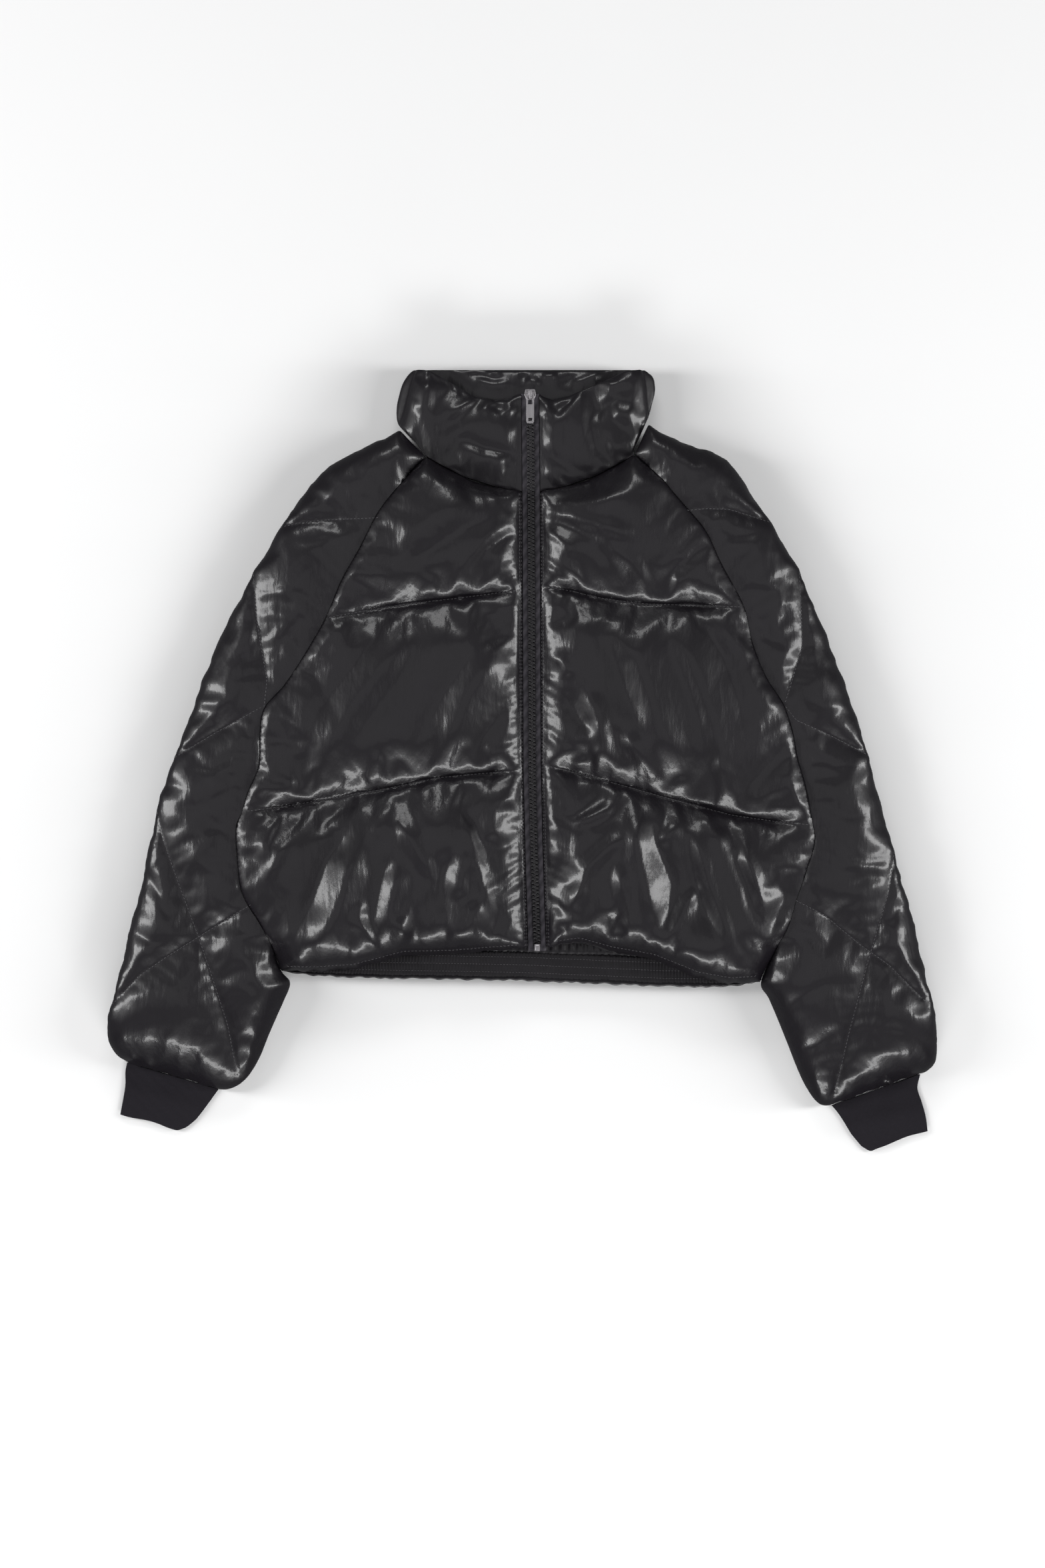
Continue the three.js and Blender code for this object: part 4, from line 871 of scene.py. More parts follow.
def front_piece(name, half):
    """A front before it is filled, with the points that the filling holds and those sewn on."""
    across = (0, UPPER_SEAM, LOWER_SEAM, HEM)
    neck, upper, lower, hem = (front_point(half, row, span(0, 1)) for row in across)
    opening, side = (front_point(half, span(0, HEM, 120), t) for t in (0, 1))
    hem = ruffled(hem, half["seed"], 0.9, 13)
    welt = opening + np.array([half["side"] * ZIP_WELT, 0])
    edges = [(neck, 34, 0), (hem, 26, 0), (opening, 52, ZIP_WELT), (side, 48, 0)]
    seams = [*edges, (upper, 50, 0), (lower, 54, 0)]
    folds = mirrored(half, half["folds"])
    row_of = row_finder(lambda rows, shares: front_point(half, rows, shares), HEM)

    def top(points):
        puff = rounded(nearness(points, seams))
        near_hem = np.exp(-((gap_to(points, hem)[0] / 90) ** 2))
        quilt = np.minimum(gap_to(points, upper)[0], gap_to(points, lower)[0])
        seam = np.maximum.reduce([
            held_up(side_rise(row_of(points)), gap_to(points, side)[0]),
            held_up(ZIP_RISE, gap_to(points, opening)[0]),
            held_up(NECK_RISE, gap_to(points, neck)[0]), held_up(QUILT_RISE, quilt, QUILT_SPREAD)])
        soft = puff**2 * 0.35 + puff * 0.65
        height = FRONT_LIFT * rounded(nearness(points, edges)) + FRONT_PUFF * soft
        height = lifted(seam, height, FRONT_LIFT + FRONT_PUFF)
        height += puff**0.6 * fold_heights(points, folds)
        height += puff * 1.2 * waves(points, 110, half["seed"])
        height += gathers(points, upper, half["seed"], (0.8, 0.5), 0.5 * half["side"])
        height += gathers(points, lower, half["seed"] + 1, (0.9, 0.8), 0.5 * half["side"])
        height += gathers(points, hem, half["seed"] + 2, (1.6, 2.2, 1.4), -0.25 * half["side"])
        height += gathers(points, welt, half["seed"] + 3, (1.5, 0.5), -0.7 * half["side"], 12, 22)
        height += gathers(points, side, half["seed"] + 4, (0.5, 0.3), 0.3)
        height += gathers(points, neck, half["seed"] + 5, (0.8, 0.8), 0.4)
        height += near_hem * 0.8 * waves(points * [1.0, 0.3], 20, half["seed"] + 6)
        return FRONT_INSIDE + SEAM_EDGE + np.maximum(height, -1)

    loop = closed_loop(neck, side, hem[::-1], opening[::-1])
    clipped = [run[4:-4] if len(run) < 100 else run[6:-6] for run in (upper, lower, welt)]
    piece, count = pillow(name, loop, [even(r, CLOTH_STEP) for r in clipped], top,
                          lambda points: np.full(len(points), FRONT_INSIDE))
    plan = read(piece.data)[:, :2]
    above = np.arange(len(plan)) < count
    held = near_any(plan, [neck, side, hem, opening, upper, lower, welt], 0.8) | ~above
    held |= gap_to(plan, opening)[0] < ZIP_WELT
    sewn = near_any(plan, [neck, side], 0.3) & above
    stuff(piece, held, 4.5, 0.03, 4.5)
    return piece, held, sewn


# Sleeves
def middle_height(row):
    """Height of the fold line of a sleeve, which sinks from the back's loft to the cuff."""
    sink = eased((row - HEM - 0.5) / (CUFF_SEAM - HEM - 0.5))
    return (BACK_LOFT + SEAM_GAP / 2) * (1 - sink) + CUFF_END_MIDDLE * sink


def sleeve_piece(name, half):
    """A sleeve before it is filled, with its held and its sewn points."""
    inner, outer = (sleeve_point(half, span(0, CUFF_SEAM, 170), t) for t in (0, 1))
    neck, wrist = (sleeve_point(half, row, span(0, 1, 12)) for row in (0, CUFF_SEAM))
    outer, wrist = ruffled(outer, half["seed"], 0.5, 31), ruffled(wrist, half["seed"] + 4, 1.0, 12)
    edges = [(inner, 34, 0), (outer, 34, 0), (neck, 26, 0), (wrist, 46, 0)]
    quilting = [even([(half["side"] * x, y) for x, y in run], 6) for run in half["quilting"]]
    seams = [*edges, *((run, 38, 0) for run in quilting)]
    folds = mirrored(half, half["sleeve_folds"])
    row_of = row_finder(lambda rows, shares: sleeve_point(half, rows, shares), CUFF_SEAM)

    def top(points):
        puff = rounded(nearness(points, seams))
        soft = puff**2 * 0.75 + puff * 0.25
        row = row_of(points)
        quilt = np.minimum.reduce([gap_to(points, run)[0] for run in quilting])
        seam = np.maximum.reduce([
            held_up(side_rise(row), gap_to(points, inner)[0]),
            held_up(NECK_RISE, gap_to(points, neck)[0]), held_up(QUILT_RISE, quilt, QUILT_SPREAD)])
        height = SLEEVE_LIFT * rounded(nearness(points, edges)) + SLEEVE_PUFF * soft
        height = lifted(seam, height, SLEEVE_LIFT + SLEEVE_PUFF)
        height += puff**0.6 * 0.6 * fold_heights(points, folds)
        height += puff * 0.8 * waves(points * [1.0, 0.6], 110, half["seed"] + 20)
        for k, run in enumerate(quilting):
            height += gathers(points, run, half["seed"] + 30 + k, (0.6, 0.3), 0.35)
        height += gathers(points, inner, half["seed"] + 5, (0.5, 0.3), -0.3)
        height += gathers(points, wrist, half["seed"] + 6, (2.0, 2.2), 0.1, 11)
        return middle_height(row) + SEAM_GAP / 2 + SEAM_EDGE + np.maximum(height, -1)

    def under(points):
        drop = SLEEVE_DEPTH * rounded(nearness(points, edges))
        drop += gathers(points, outer, half["seed"] + 7, (1.2, 1.0))
        return np.maximum(middle_height(row_of(points)) - SEAM_GAP / 2 - SEAM_EDGE - drop, 0)

    loop = closed_loop(neck, outer, wrist[::-1], inner[::-1])
    rim = np.vstack([loop, loop[:1]])
    within = [even(run, CLOTH_STEP)[1:-1] for run in quilting]
    within = [run[inside(run, loop) & (gap_to(run, rim)[0] > 1.5)] for run in within]
    piece, count = pillow(name, loop, within, top, under, 7.0)
    points = read(piece.data)
    plan, above = points[:, :2], np.arange(len(points)) < count
    held = near_any(plan, [inner, neck, wrist, *quilting], 0.8) & above
    held |= ~above & ((points[:, 2] < 0.4) | near_any(plan, [inner, neck, wrist], 4))
    sewn = near_any(plan, [inner, neck], 0.3) & above
    stuff(piece, held, 5.5, 0.018, 4.0)
    return piece, held, sewn


# Collar
def collar_stations():
    """Stations from zip to zip round the neck, with the outer face turning over at each fold."""
    listed = []
    for half in HALVES.values():
        side, slope = half["side"], half["neck_slope"]
        stations = []
        for share, rx, ry, lx, ly, puff in COLLAR_FRONT:
            (x, y), = front_point(half, 0, share)
            top_x, top_y = (rx, ry) if side < 0 else (lx, ly)
            upper_x = side * top_x + zip_x(top_y)
            stations.append((x, y + 2 * SEAM_GAP, upper_x, top_y, 0, puff, side, slope))
        for neck_x, neck_y, top_x, top_y, turn, puff in half["collar_fold"]:
            stations.append((side * neck_x, neck_y, side * top_x, top_y, turn, puff, side, slope))
        listed.append(stations)
    return np.array(listed[0] + listed[1][:-1][::-1], float)


def collar_point(station, v, off):
    """A point of the collar at a share of its height, a distance out from its inner face."""
    neck_x, neck_y, top_x, top_y, turn, _, side, slope = station
    angle = math.radians(turn)
    aside = off * math.sin(angle)
    ground = FRONT_INSIDE + (BACK_LOFT - FRONT_INSIDE) * turn / 180
    x = neck_x + (top_x - neck_x) * v + side * aside
    y = neck_y + (top_y - neck_y) * v + aside * (1 - v) * slope
    return x, y, max(ground + off * math.cos(angle), 0.0)


def collar_piece():
    """The collar before it is filled, with its held and its sewn points."""
    stations = collar_stations()
    fine = []
    for a, b in zip(stations, stations[1:]):
        mid = [np.array(collar_point(s, 0.5, SEAM_EDGE + COLLAR_PUFF)) for s in (a, b)]
        count = max(1, int(round(np.linalg.norm(mid[0] - mid[1]) / 3.0)))
        for k in range(count):
            between = a + (b - a) * k / count
            between[6] = a[6] if abs(a[6] - b[6]) < 1 else 0
            fine.append(between)
    fine.append(stations[-1])
    heights = 0.5 - 0.5 * np.cos(math.pi * span(0, 1, 29))
    heights = 0.6 * heights + 0.4 * span(0, 1, 29)
    outer, inner, plan, upward = [], [], [], []
    chance = waves(np.array([[s[0] + s[2], s[1]] for s in fine]) * 1.4, 60, 12)
    for k, station in enumerate(fine):
        full = (COLLAR_DEPTH if station[4] > 90 else COLLAR_PUFF) * station[5]
        for v in heights:
            swell = float(rounded(np.array(min(v, 1 - v) / 0.4)))
            seam = NECK_RISE if v < 0.5 else COLLAR_TOP_RISE
            off = SEAM_EDGE + seam + (full - seam) * swell + 1.2 * chance[k] * swell
            outer.append(collar_point(station, v, off))
            upward.append(max(math.cos(math.radians(station[4])), 0) * swell**0.5)
            x, y, z = collar_point(station, v, 0)
            shows = station[4] > 135 and abs(x) < 84 and 0.45 < v
            rise = 6.0 * float(rounded(np.array(min(v - 0.45, 1 - v) / 0.3))) if shows else 0
            inner.append((x, y, z + rise * max(0.0, 1 - (abs(x) / 84) ** 4)))
            plan.append((k, v))
    outer, inner = np.array(outer), np.array(inner)
    inner[:, 2] += (inner[:, 2] > BACK_LOFT + 1) * fold_heights(inner[:, :2], COLLAR_INNER_FOLDS)
    folds = [fold for half in HALVES.values() for fold in mirrored(half, half["collar_folds"])]
    neck = [front_point(half, 0, span(0.04, 1)) for half in HALVES.values()]
    folded = fold_heights(outer[:, :2], folds)
    for k, run in enumerate(neck):
        near = np.sign(outer[:, 0]) == np.sign(run[-1, 0])
        folded += near * gathers(outer[:, :2], run, 90 + k, (0.8, 0.9), 0.4)
    outer[:, 2] += np.array(upward) * folded
    wide, count = len(heights), len(fine)
    points = np.vstack([outer, inner])
    first = wide * count
    faces = []
    for k in range(count - 1):
        for v in range(wide - 1):
            a, d = k * wide + v, (k + 1) * wide + v
            b, c = a + 1, d + 1
            faces += [(a, b, c, d), (first + d, first + c, first + b, first + a)]
        for v in (0, wide - 1):
            a, d = k * wide + v, (k + 1) * wide + v
            wall = (d, first + d, first + a, a)
            faces.append(wall if v else wall[::-1])
    for k in (0, count - 1):
        for v in range(wide - 1):
            a = k * wide + v
            wall = (a, first + a, first + a + 1, a + 1)
            faces.append(wall if k else wall[::-1])
    piece = mesh_piece("collar_shell", points, faces, NYLON)
    number = np.array(plan + plan)
    held = (number[:, 1] < 0.01) | (number[:, 1] > 0.99)
    held |= (number[:, 0] < 2) | (number[:, 0] > count - 3)
    held |= (np.arange(len(points)) >= first) | (points[:, 2] < 0.4)
    sewn = (number[:, 1] < 0.01) | (number[:, 0] < 1) | (number[:, 0] > count - 2)
    sewn &= np.arange(len(points)) < first
    stuff(piece, held, 5.0, 0.06, 5.0)
    return piece, held, sewn


# Back
def grid_faces(rows, columns, first=0, flip=False):
    faces = []
    for i in range(rows - 1):
        for j in range(columns - 1):
            a = first + i * columns + j
            face = (a, a + 1, a + columns + 1, a + columns)
            faces.append(face[::-1] if flip else face)
    return faces


def between_grids(rows, columns, second, flip=False):
    """Walls that join the rims of two grids of one size, the second starting at a later point."""
    rim = [*range(columns), *(i * columns + columns - 1 for i in range(1, rows)),
           *((rows - 1) * columns + j for j in range(columns - 2, -1, -1)),
           *(i * columns for i in range(rows - 2, 0, -1))]
    faces = []
    for a, b in zip(rim, rim[1:] + rim[:1]):
        face = (a, b, second + b, second + a)
        faces.append(face[::-1] if flip else face)
    return faces


def back_piece():
    """The back: flat inside, with the gathers and the elastic's bed at its hem, padded below."""
    rows = np.unique(np.concatenate([
        np.linspace(0, 1, 9), np.linspace(1, HEM - 1.2, 62), np.linspace(HEM - 1.2, HEM, 16)]))
    shares = np.linspace(0, 1, 281)
    grid_rows, grid_shares = np.meshgrid(rows, shares, indexing="ij")
    plan = back_point(grid_rows, grid_shares)
    rim = [back_point(0, span(0, 1)), back_point(span(0, HEM, 150), 1),
           back_point(HEM, span(1, 0)), back_point(span(HEM, 0, 150), 0)]
    quilting = [back_point(row, span(0, 1)) for row in (UPPER_SEAM, LOWER_SEAM)]
    hem_far, hem_place, _, _ = gap_to(plan, rim[2])
    far = np.minimum.reduce([gap_to(plan, run)[0] for run in rim])
    close = np.exp(-hem_far / 5)
    scallops = np.sin(hem_place / 2.3 + 1.6 * np.sin(hem_place / 31) + 1.1 * np.sin(hem_place / 9.7))
    scallops += 0.8 * np.sin(hem_place / 5.9 + 1.9 * np.sin(hem_place / 23))
    plan = plan + np.stack([0 * far, close * 0.5 * scallops], axis=1)
    low = BACK_LOFT - BACK_EDGE - BACK_LOFT * rounded(nearness(plan, [(run, 30, 0) for run in rim]))
    for k, run in enumerate(rim):
        low += gathers(plan, run, 31 + k, (1.2, 1.2))
    inward = np.clip(far / 30, 0, 1)
    for run in quilting:
        apart = gap_to(plan, run)[0]
        low += inward * 6.5 * np.exp(-((apart / 8) ** 2)) + inward * gathers(plan, run, 37, (1.2, 0.8))
    low = np.maximum(low, 0)
    strip = np.clip((hem_far - 2.0) / 1.2, 0, 1) * np.clip((29.0 - hem_far) / 1.2, 0, 1)
    pleats = np.sin(hem_place * 2 * math.pi / 7.5 + 1.5 * np.sin(hem_place / 23) + np.sin(hem_place / 9))
    facing = np.clip((hem_far - 28) / 2, 0, 1) * np.clip((60 - hem_far) / 20, 0, 1)
    high = BACK_LOFT - 2.6 * strip + facing * (-0.7 + 0.7 * pleats)
    high += close * 0.5 * np.sin(hem_place * 2 * math.pi / 5.5)
    high -= 0.8 * np.exp(-far / 1.6)
    count = len(plan)
    points = np.vstack([np.column_stack([plan, high]), np.column_stack([plan, low])])
    wide, tall = len(shares), len(rows)
    # Rows run down from the neck and shares run to +x, so an upward face is turned over.
    faces = grid_faces(tall, wide, 0, flip=True) + grid_faces(tall, wide, count)
    faces += between_grids(tall, wide, count)
    piece = mesh_piece("back_shell", points, faces, NYLON)
    finished(piece, "nylon", "back")


def grow_creases(piece, seed):
    """Fine crinkles of the coated cloth, along the normals, as long ridges 14 to 30 mm apart."""
    points = read(piece.data)
    plan = points[:, :2] * [1.0, 0.45] + points[:, 2:] * np.array([0.6, 0.4])
    bent = plan + 6 * np.stack([waves(plan, 50, seed), waves(plan, 50, seed + 1)], axis=1)
    broad, fine = (1 - np.abs(waves(bent, size, seed + k, 6)) for size, k in ((26, 2), (15, 3)))
    ridges = broad * 0.6 + fine * 0.35
    lift = np.clip(points[:, 2] / 3, 0, 1)
    along_normals(piece, CREASE_HEIGHT * (ridges - 0.5) * lift)


sewing = [
    (*make(f"{node}_{side}_shell", half), fill_share, f"{node}_{side}", seed)
    for make, node, fill_share, seeds in (
        (front_piece, "front", 0.6, (41, 51)), (sleeve_piece, "sleeve", 0.5, (61, 71)))
    for (side, half), seed in zip(HALVES.items(), seeds)
]
sewing.append((*collar_piece(), 0.6, "collar", 81))
fill(22)
for piece, held, sewn, fill_share, node, seed in sewing:
    relax(piece, ~held)
    subdivide(piece, sewn)
    grow_creases(piece, seed)
    finished(piece, "nylon", node)
back_piece()


# Cuffs
def cuff_piece(name, node, half):
    """A jersey tube pressed flat: rolled sides, an open wrist end and a few soft wrinkles."""
    rows, around = span(-0.25, 4, 34), 72
    outer, inner = [], []
    for row in rows:
        ex, ey, ox, oy = along(half["cuff"], row)[0]
        wide = math.hypot(ox - ex, oy - ey)
        tuck = float(np.interp(row, [0, 2.8, 3.6, 4], [0, 0, 2, 7]))
        for k in range(around):
            angle = 2 * math.pi * k / around
            t = 0.5 - 0.5 * math.copysign(abs(math.cos(angle)) ** 0.6, math.cos(angle))
            swell = math.copysign(abs(math.sin(angle)) ** 0.6, math.sin(angle))
            wrinkle = math.sin(2.3 * row + 6 * t + half["seed"]) * math.sin(1.1 * row - 7 * t)
            flat = 1.7 if swell < 0 else 2.0 + 0.75 * wrinkle
            up = 3.0 + swell * (flat + 0.4 * math.sin(14 * t) * math.exp(-row * 1.1))
            x = half["side"] * (ex + (ox - ex) * t + tuck * (1 - t) ** 4)
            y = ey + (oy - ey) * t + (0.7 * math.sin(9 * t + half["seed"]) + 0.4) * row / 4
            outer.append((x, y, max(up, 0.0)))
            share = 2.4 / wide + (1 - 4.8 / wide) * t
            x = half["side"] * (ex + (ox - ex) * share + tuck * (1 - t) ** 4)
            inner.append((x, y, 3.0 + 0.6 * swell))
    tall, first = len(rows), len(outer)
    faces = []
    for i in range(tall - 1):
        for k in range(around):
            a, b = i * around + k, i * around + (k + 1) % around
            faces.append((a, b, b + around, a + around))
            faces.append((first + a + around, first + b + around, first + b, first + a))
    for i in (0, tall - 1):
        for k in range(around):
            a, b = i * around + k, i * around + (k + 1) % around
            rim = (b, a, first + a, first + b)
            faces.append(rim if i == 0 else rim[::-1])
    piece = mesh_piece(name, outer + inner, faces, JERSEY)
    out_of(piece)
    finished(piece, "knit", node)


def out_of(piece):
    """Turns the faces of a closed piece outward."""
    form = bmesh.new()
    form.from_mesh(piece.data)
    bmesh.ops.recalc_face_normals(form, faces=form.faces)
    form.to_mesh(piece.data)
    form.free()


for side, half in HALVES.items():
    cuff_piece(f"cuff_{side}_jersey", f"cuff_{side}", half)


# Elastic and zip tapes
ELASTIC_INSET, ELASTIC_WIDTH = 3, 25  # from the hem edge, and across, mm
ELASTIC_SEAMS = (0.2, 0.5, 0.8)  # stitched lines, as shares of its width


def ribbon(name, top, floor, material):
    """A closed ribbon between a shaped grid of points and its floor below them."""
    tall, wide = top.shape[:2]
    low = top.copy()
    low[:, :, 2] = floor
    points = np.vstack([top.reshape(-1, 3), low.reshape(-1, 3)])
    count = tall * wide
    faces = grid_faces(tall, wide) + grid_faces(tall, wide, count, flip=True)
    faces += between_grids(tall, wide, count, flip=True)
    piece = mesh_piece(name, points, faces, material)
    out_of(piece)
    return piece


def elastic_piece():
    """The elastic along the hem: fine cross ribs, drawn down along its three stitched lines."""
    shares = np.linspace(0.035, 0.965, 620)
    hem = back_point(HEM, shares)
    reach = np.concatenate([[0], np.cumsum(np.linalg.norm(np.diff(hem, axis=0), axis=1))])
    rows = []
    for v in np.linspace(0, 1, 19):
        rows_apart = min(abs(v - row) for row in ELASTIC_SEAMS)
        ribs = 0.75 * np.abs(np.sin(reach * math.pi / 3.0 + 0.5 * np.sin(v * 4 + reach / 19)))
        height = 24.6 + ribs * (0.5 + 0.5 * min(1, rows_apart / 0.06)) + 0.3 * np.sin(reach / 13 + 3 * v)
        height = height - 0.5 * (v < 0.02) - 0.5 * (v > 0.98)
        y = hem[:, 1] + ELASTIC_INSET + ELASTIC_WIDTH * v
        y += 0.35 * np.sin(reach * 2 * math.pi / 5.5) * (abs(v - 0.5) > 0.4)
        rows.append(np.column_stack([hem[:, 0], y, np.minimum(height, 25.75)]))
    piece = ribbon("hem_elastic_band", np.array(rows), 23.4, ELASTIC)
    return finished(piece, "elastic", "hem_elastic")


def tape_rise(y):
    """How far the zip is bowed up at a height along it: nothing at the box and at the slider."""
    return TAPE_BOW * eased(np.minimum(y, 470 - y) / 90)


def tape_piece(name, node, side):
    """A zip tape with its cord beside the teeth."""
    lengths = np.linspace(ZIP_BOTTOM, ZIP_TOP, 300)
    rows = []
    for x in np.array([0.15, 0.6, 2.6, 3.4, 3.8, 4.4, 6.2, 8.0, 8.4, 8.74]):
        cord = 0.55 * math.exp(-(((x - 3.4) / 0.5) ** 2))
        drop = 0.35 * (x > 8.5) + 0.25 * (x < 0.3)
        wave = 0.12 * np.sin(lengths / 17 + side)
        rows.append(np.column_stack([
            zip_x(lengths) + side * x, lengths,
            TAPE_FLOOR + tape_rise(lengths) + 0.75 + cord - drop + wave]))
    piece = ribbon(name, np.array(rows), TAPE_FLOOR + tape_rise(lengths), TAPE)
    finished(piece, "zip_tape", node)


elastic = elastic_piece()
for side, half in HALVES.items():
    tape_piece(f"zip_tape_{side}_woven", f"zip_tape_{side}", half["side"])


# Modelling by hand
def start_block(name, size, centre, material):
    """A block of a size in mm, its centre in the row frame in mm, ready to be shaped."""
    bpy.ops.object.select_all(action="DESELECT")
    bpy.ops.mesh.primitive_cube_add(size=1, location=Vector(centre) * MM)
    piece = bpy.context.object
    piece.name = name
    piece.scale = Vector(size) * MM
    bpy.ops.object.transform_apply(location=True, rotation=True, scale=True)
    piece.data.materials.append(material)
    return piece


def pick_faces(piece, wanted):
    """Selects, in edit mode, the faces whose centre and normal a rule accepts."""
    bpy.ops.object.mode_set(mode="EDIT")
    bpy.ops.mesh.select_mode(type="FACE")
    bpy.ops.mesh.select_all(action="DESELECT")
    form = bmesh.from_edit_mesh(piece.data)
    for face in form.faces:
        face.select = bool(wanted(face.calc_center_median() / MM, face.normal))
    form.select_flush_mode()
    bmesh.update_edit_mesh(piece.data)


def cut_across(axis, *places):
    """Cuts the piece that is being edited by planes across an axis, at places in mm."""
    for place in places:
        spot = [place if k == axis else 0 for k in range(3)]
        bpy.ops.mesh.select_all(action="SELECT")
        bpy.ops.mesh.bisect(plane_co=Vector(spot) * MM, plane_no=[float(k == axis) for k in range(3)])


def bevelled(piece, width, segments=2, angle=0.6):
    """Leaves edit mode and rounds the sharp edges by a width in mm."""
    if bpy.context.mode != "OBJECT":
        bpy.ops.object.mode_set(mode="OBJECT")
    bpy.context.view_layer.objects.active = piece
    rounding = piece.modifiers.new("rounding", "BEVEL")
    rounding.width = width * MM
    rounding.segments = segments
    rounding.limit_method = "ANGLE"
    rounding.angle_limit = angle
    bpy.ops.object.modifier_apply(modifier="rounding")
    bpy.ops.object.select_all(action="DESELECT")
    piece.select_set(True)
    bpy.ops.object.shade_smooth_by_angle(angle=math.radians(40))


def copies(name, pattern, places, material):
    """One mesh of copies of a small piece, at turns and places in the row frame in mm."""
    source = np.array([tuple(v.co) for v in pattern.data.vertices]) / MM
    shape = [tuple(p.vertices) for p in pattern.data.polygons]
    points, faces = [], []
    for number, (turn, place) in enumerate(places):
        first = number * len(source)
        points.append(source @ np.asarray(turn).T + np.asarray(place))
        faces += [tuple(first + k for k in face) for face in shape]
    mesh = bpy.data.meshes.new(name)
    mesh.from_pydata((np.vstack(points) * MM).tolist(), [], faces)
    mesh.polygons.foreach_set("use_smooth", [True] * len(mesh.polygons))
    mesh.materials.append(material)
    piece = bpy.data.objects.new(name, mesh)
    bpy.context.collection.objects.link(piece)
    bpy.data.objects.remove(pattern)
    return piece


TOOTH_PITCH = 3.6


def zip_teeth():
    """Moulded teeth of both tapes in turn, each with a wide root and a rounded head."""
    tooth = start_block("tooth", (4.6, 1.7, 2.4), (-1.05, 0, 1.2), TEETH)
    pick_faces(tooth, lambda centre, normal: normal.x < -0.9)
    bpy.ops.transform.resize(value=(1, 1.55, 1))
    bpy.ops.mesh.extrude_region_move(TRANSFORM_OT_translate={"value": (-0.5 * MM, 0, 0)})
    bpy.ops.transform.resize(value=(1, 1, 0.5))
    bevelled(tooth, 0.35, 1)
    places = []
    for k, y in enumerate(np.arange(4.5, ZIP_TOP - 14, TOOTH_PITCH / 2)):
        turn = np.diag([-1.0, -1.0, 1.0] if k % 2 else [1.0, 1.0, 1.0])
        places.append((turn, (float(zip_x(y)) - OFFSET[0], y - OFFSET[1],
                              TAPE_FLOOR + float(tape_rise(y)) + 0.65)))
    finished(copies("zip_teeth_moulded", tooth, places, TEETH), "zip_metal")


def zip_slider():
    """The slider: a body that narrows downward, and a bridge on two feet for the pull."""
    low, high = (np.array(corner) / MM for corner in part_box("zip_slider"))
    middle = (low + high) / 2
    base = low[2]
    body = start_block("zip_slider_cast", (11, 10.5, 5), (middle[0], middle[1], base + 2.5), METAL)
    bpy.ops.object.mode_set(mode="EDIT")
    cut_across(1, middle[1])
    pick_faces(body, lambda centre, normal: normal.y < -0.9 and centre.y < middle[1] - 2)
    bpy.ops.transform.resize(value=(0.66, 1, 1))
    pick_faces(body, lambda centre, normal: normal.y > 0.9 and centre.y > middle[1] + 2)
    bpy.ops.transform.resize(value=(0.84, 1, 1))
    pick_faces(body, lambda centre, normal: normal.z > 0.9)
    bpy.ops.mesh.inset(thickness=1.1 * MM, depth=0)
    bpy.ops.transform.translate(value=(0, 0, -0.55 * MM))
    bevelled(body, 0.55, 3)
    bridge = start_block("bridge", (2.6, 8, 0.9), (middle[0], middle[1], high[2] - 0.5), METAL)
    bpy.ops.object.mode_set(mode="EDIT")
    cut_across(1, middle[1] - 2.6, middle[1] + 2.6)
    pick_faces(bridge, lambda centre, normal: normal.z < -0.9 and abs(centre.y - middle[1]) > 2.6)
    bpy.ops.mesh.extrude_region_move(TRANSFORM_OT_translate={"value": (0, 0, -3.2 * MM)})
    bevelled(bridge, 0.4, 3)
    bpy.ops.object.select_all(action="DESELECT")
    for part in (bridge, body):
        part.select_set(True)
    bpy.context.view_layer.objects.active = body
    bpy.ops.object.join()
    finished(body, "zip_metal", "zip_slider")


def zip_pull():
    """The pull: a plate with the window of its ring above, a slot below and a sunk middle."""
    low, high = (np.array(corner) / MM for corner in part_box("zip_pull"))
    x, z = (low[0] + high[0]) / 2, (low[2] + high[2]) / 2
    plate = start_block("zip_pull_cast", (7.5, 29, 1.5), (x, (low[1] + high[1]) / 2, z), METAL)
    bpy.ops.object.mode_set(mode="EDIT")
    ring, slot = (2.2, high[1] - 1.6, high[1] - 10.4), (1.9, low[1] + 5.4, low[1] + 2.3)
    cut_across(0, x - ring[0], x - slot[0], x + slot[0], x + ring[0])
    cut_across(1, *ring[1:], *slot[1:])
    for half_width, upper, lower in (ring, slot):
        pick_faces(plate, lambda centre, normal: abs(centre.x - x) < half_width
                   and lower < centre.y < upper and abs(normal.z) > 0.9)
        bpy.ops.mesh.bridge_edge_loops()
    pick_faces(plate, lambda centre, normal: abs(normal.y) > 0.9 and centre.y < low[1] + 0.2)
    bpy.ops.transform.resize(value=(0.8, 1, 1))
    pick_faces(plate, lambda centre, normal: normal.z > 0.9 and low[1] + 6 < centre.y < high[1] - 11
               and abs(centre.x - x) < 2)
    bpy.ops.mesh.inset(thickness=0.5 * MM, depth=-0.25 * MM)
    bevelled(plate, 0.3, 2)
    finished(plate, "zip_metal", "zip_pull", body="pull_tab")


def zip_bottom():
    """The box at the lower end, sunk inside its rim."""
    low, high = (np.array(corner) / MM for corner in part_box("zip_box"))
    size, middle = high - low, (low + high) / 2
    box = start_block("zip_bottom_box", tuple(size), tuple(middle), METAL)
    pick_faces(box, lambda centre, normal: normal.z > 0.9)
    bpy.ops.mesh.inset(thickness=0.9 * MM, depth=0)
    bpy.ops.mesh.extrude_region_move(TRANSFORM_OT_translate={"value": (0, 0, -0.5 * MM)})
    bpy.ops.transform.resize(value=(0.85, 0.85, 1))
    bevelled(box, 0.45, 3)
    finished(box, "zip_metal", "zip_box")


zip_teeth()
zip_slider()
zip_pull()
zip_bottom()


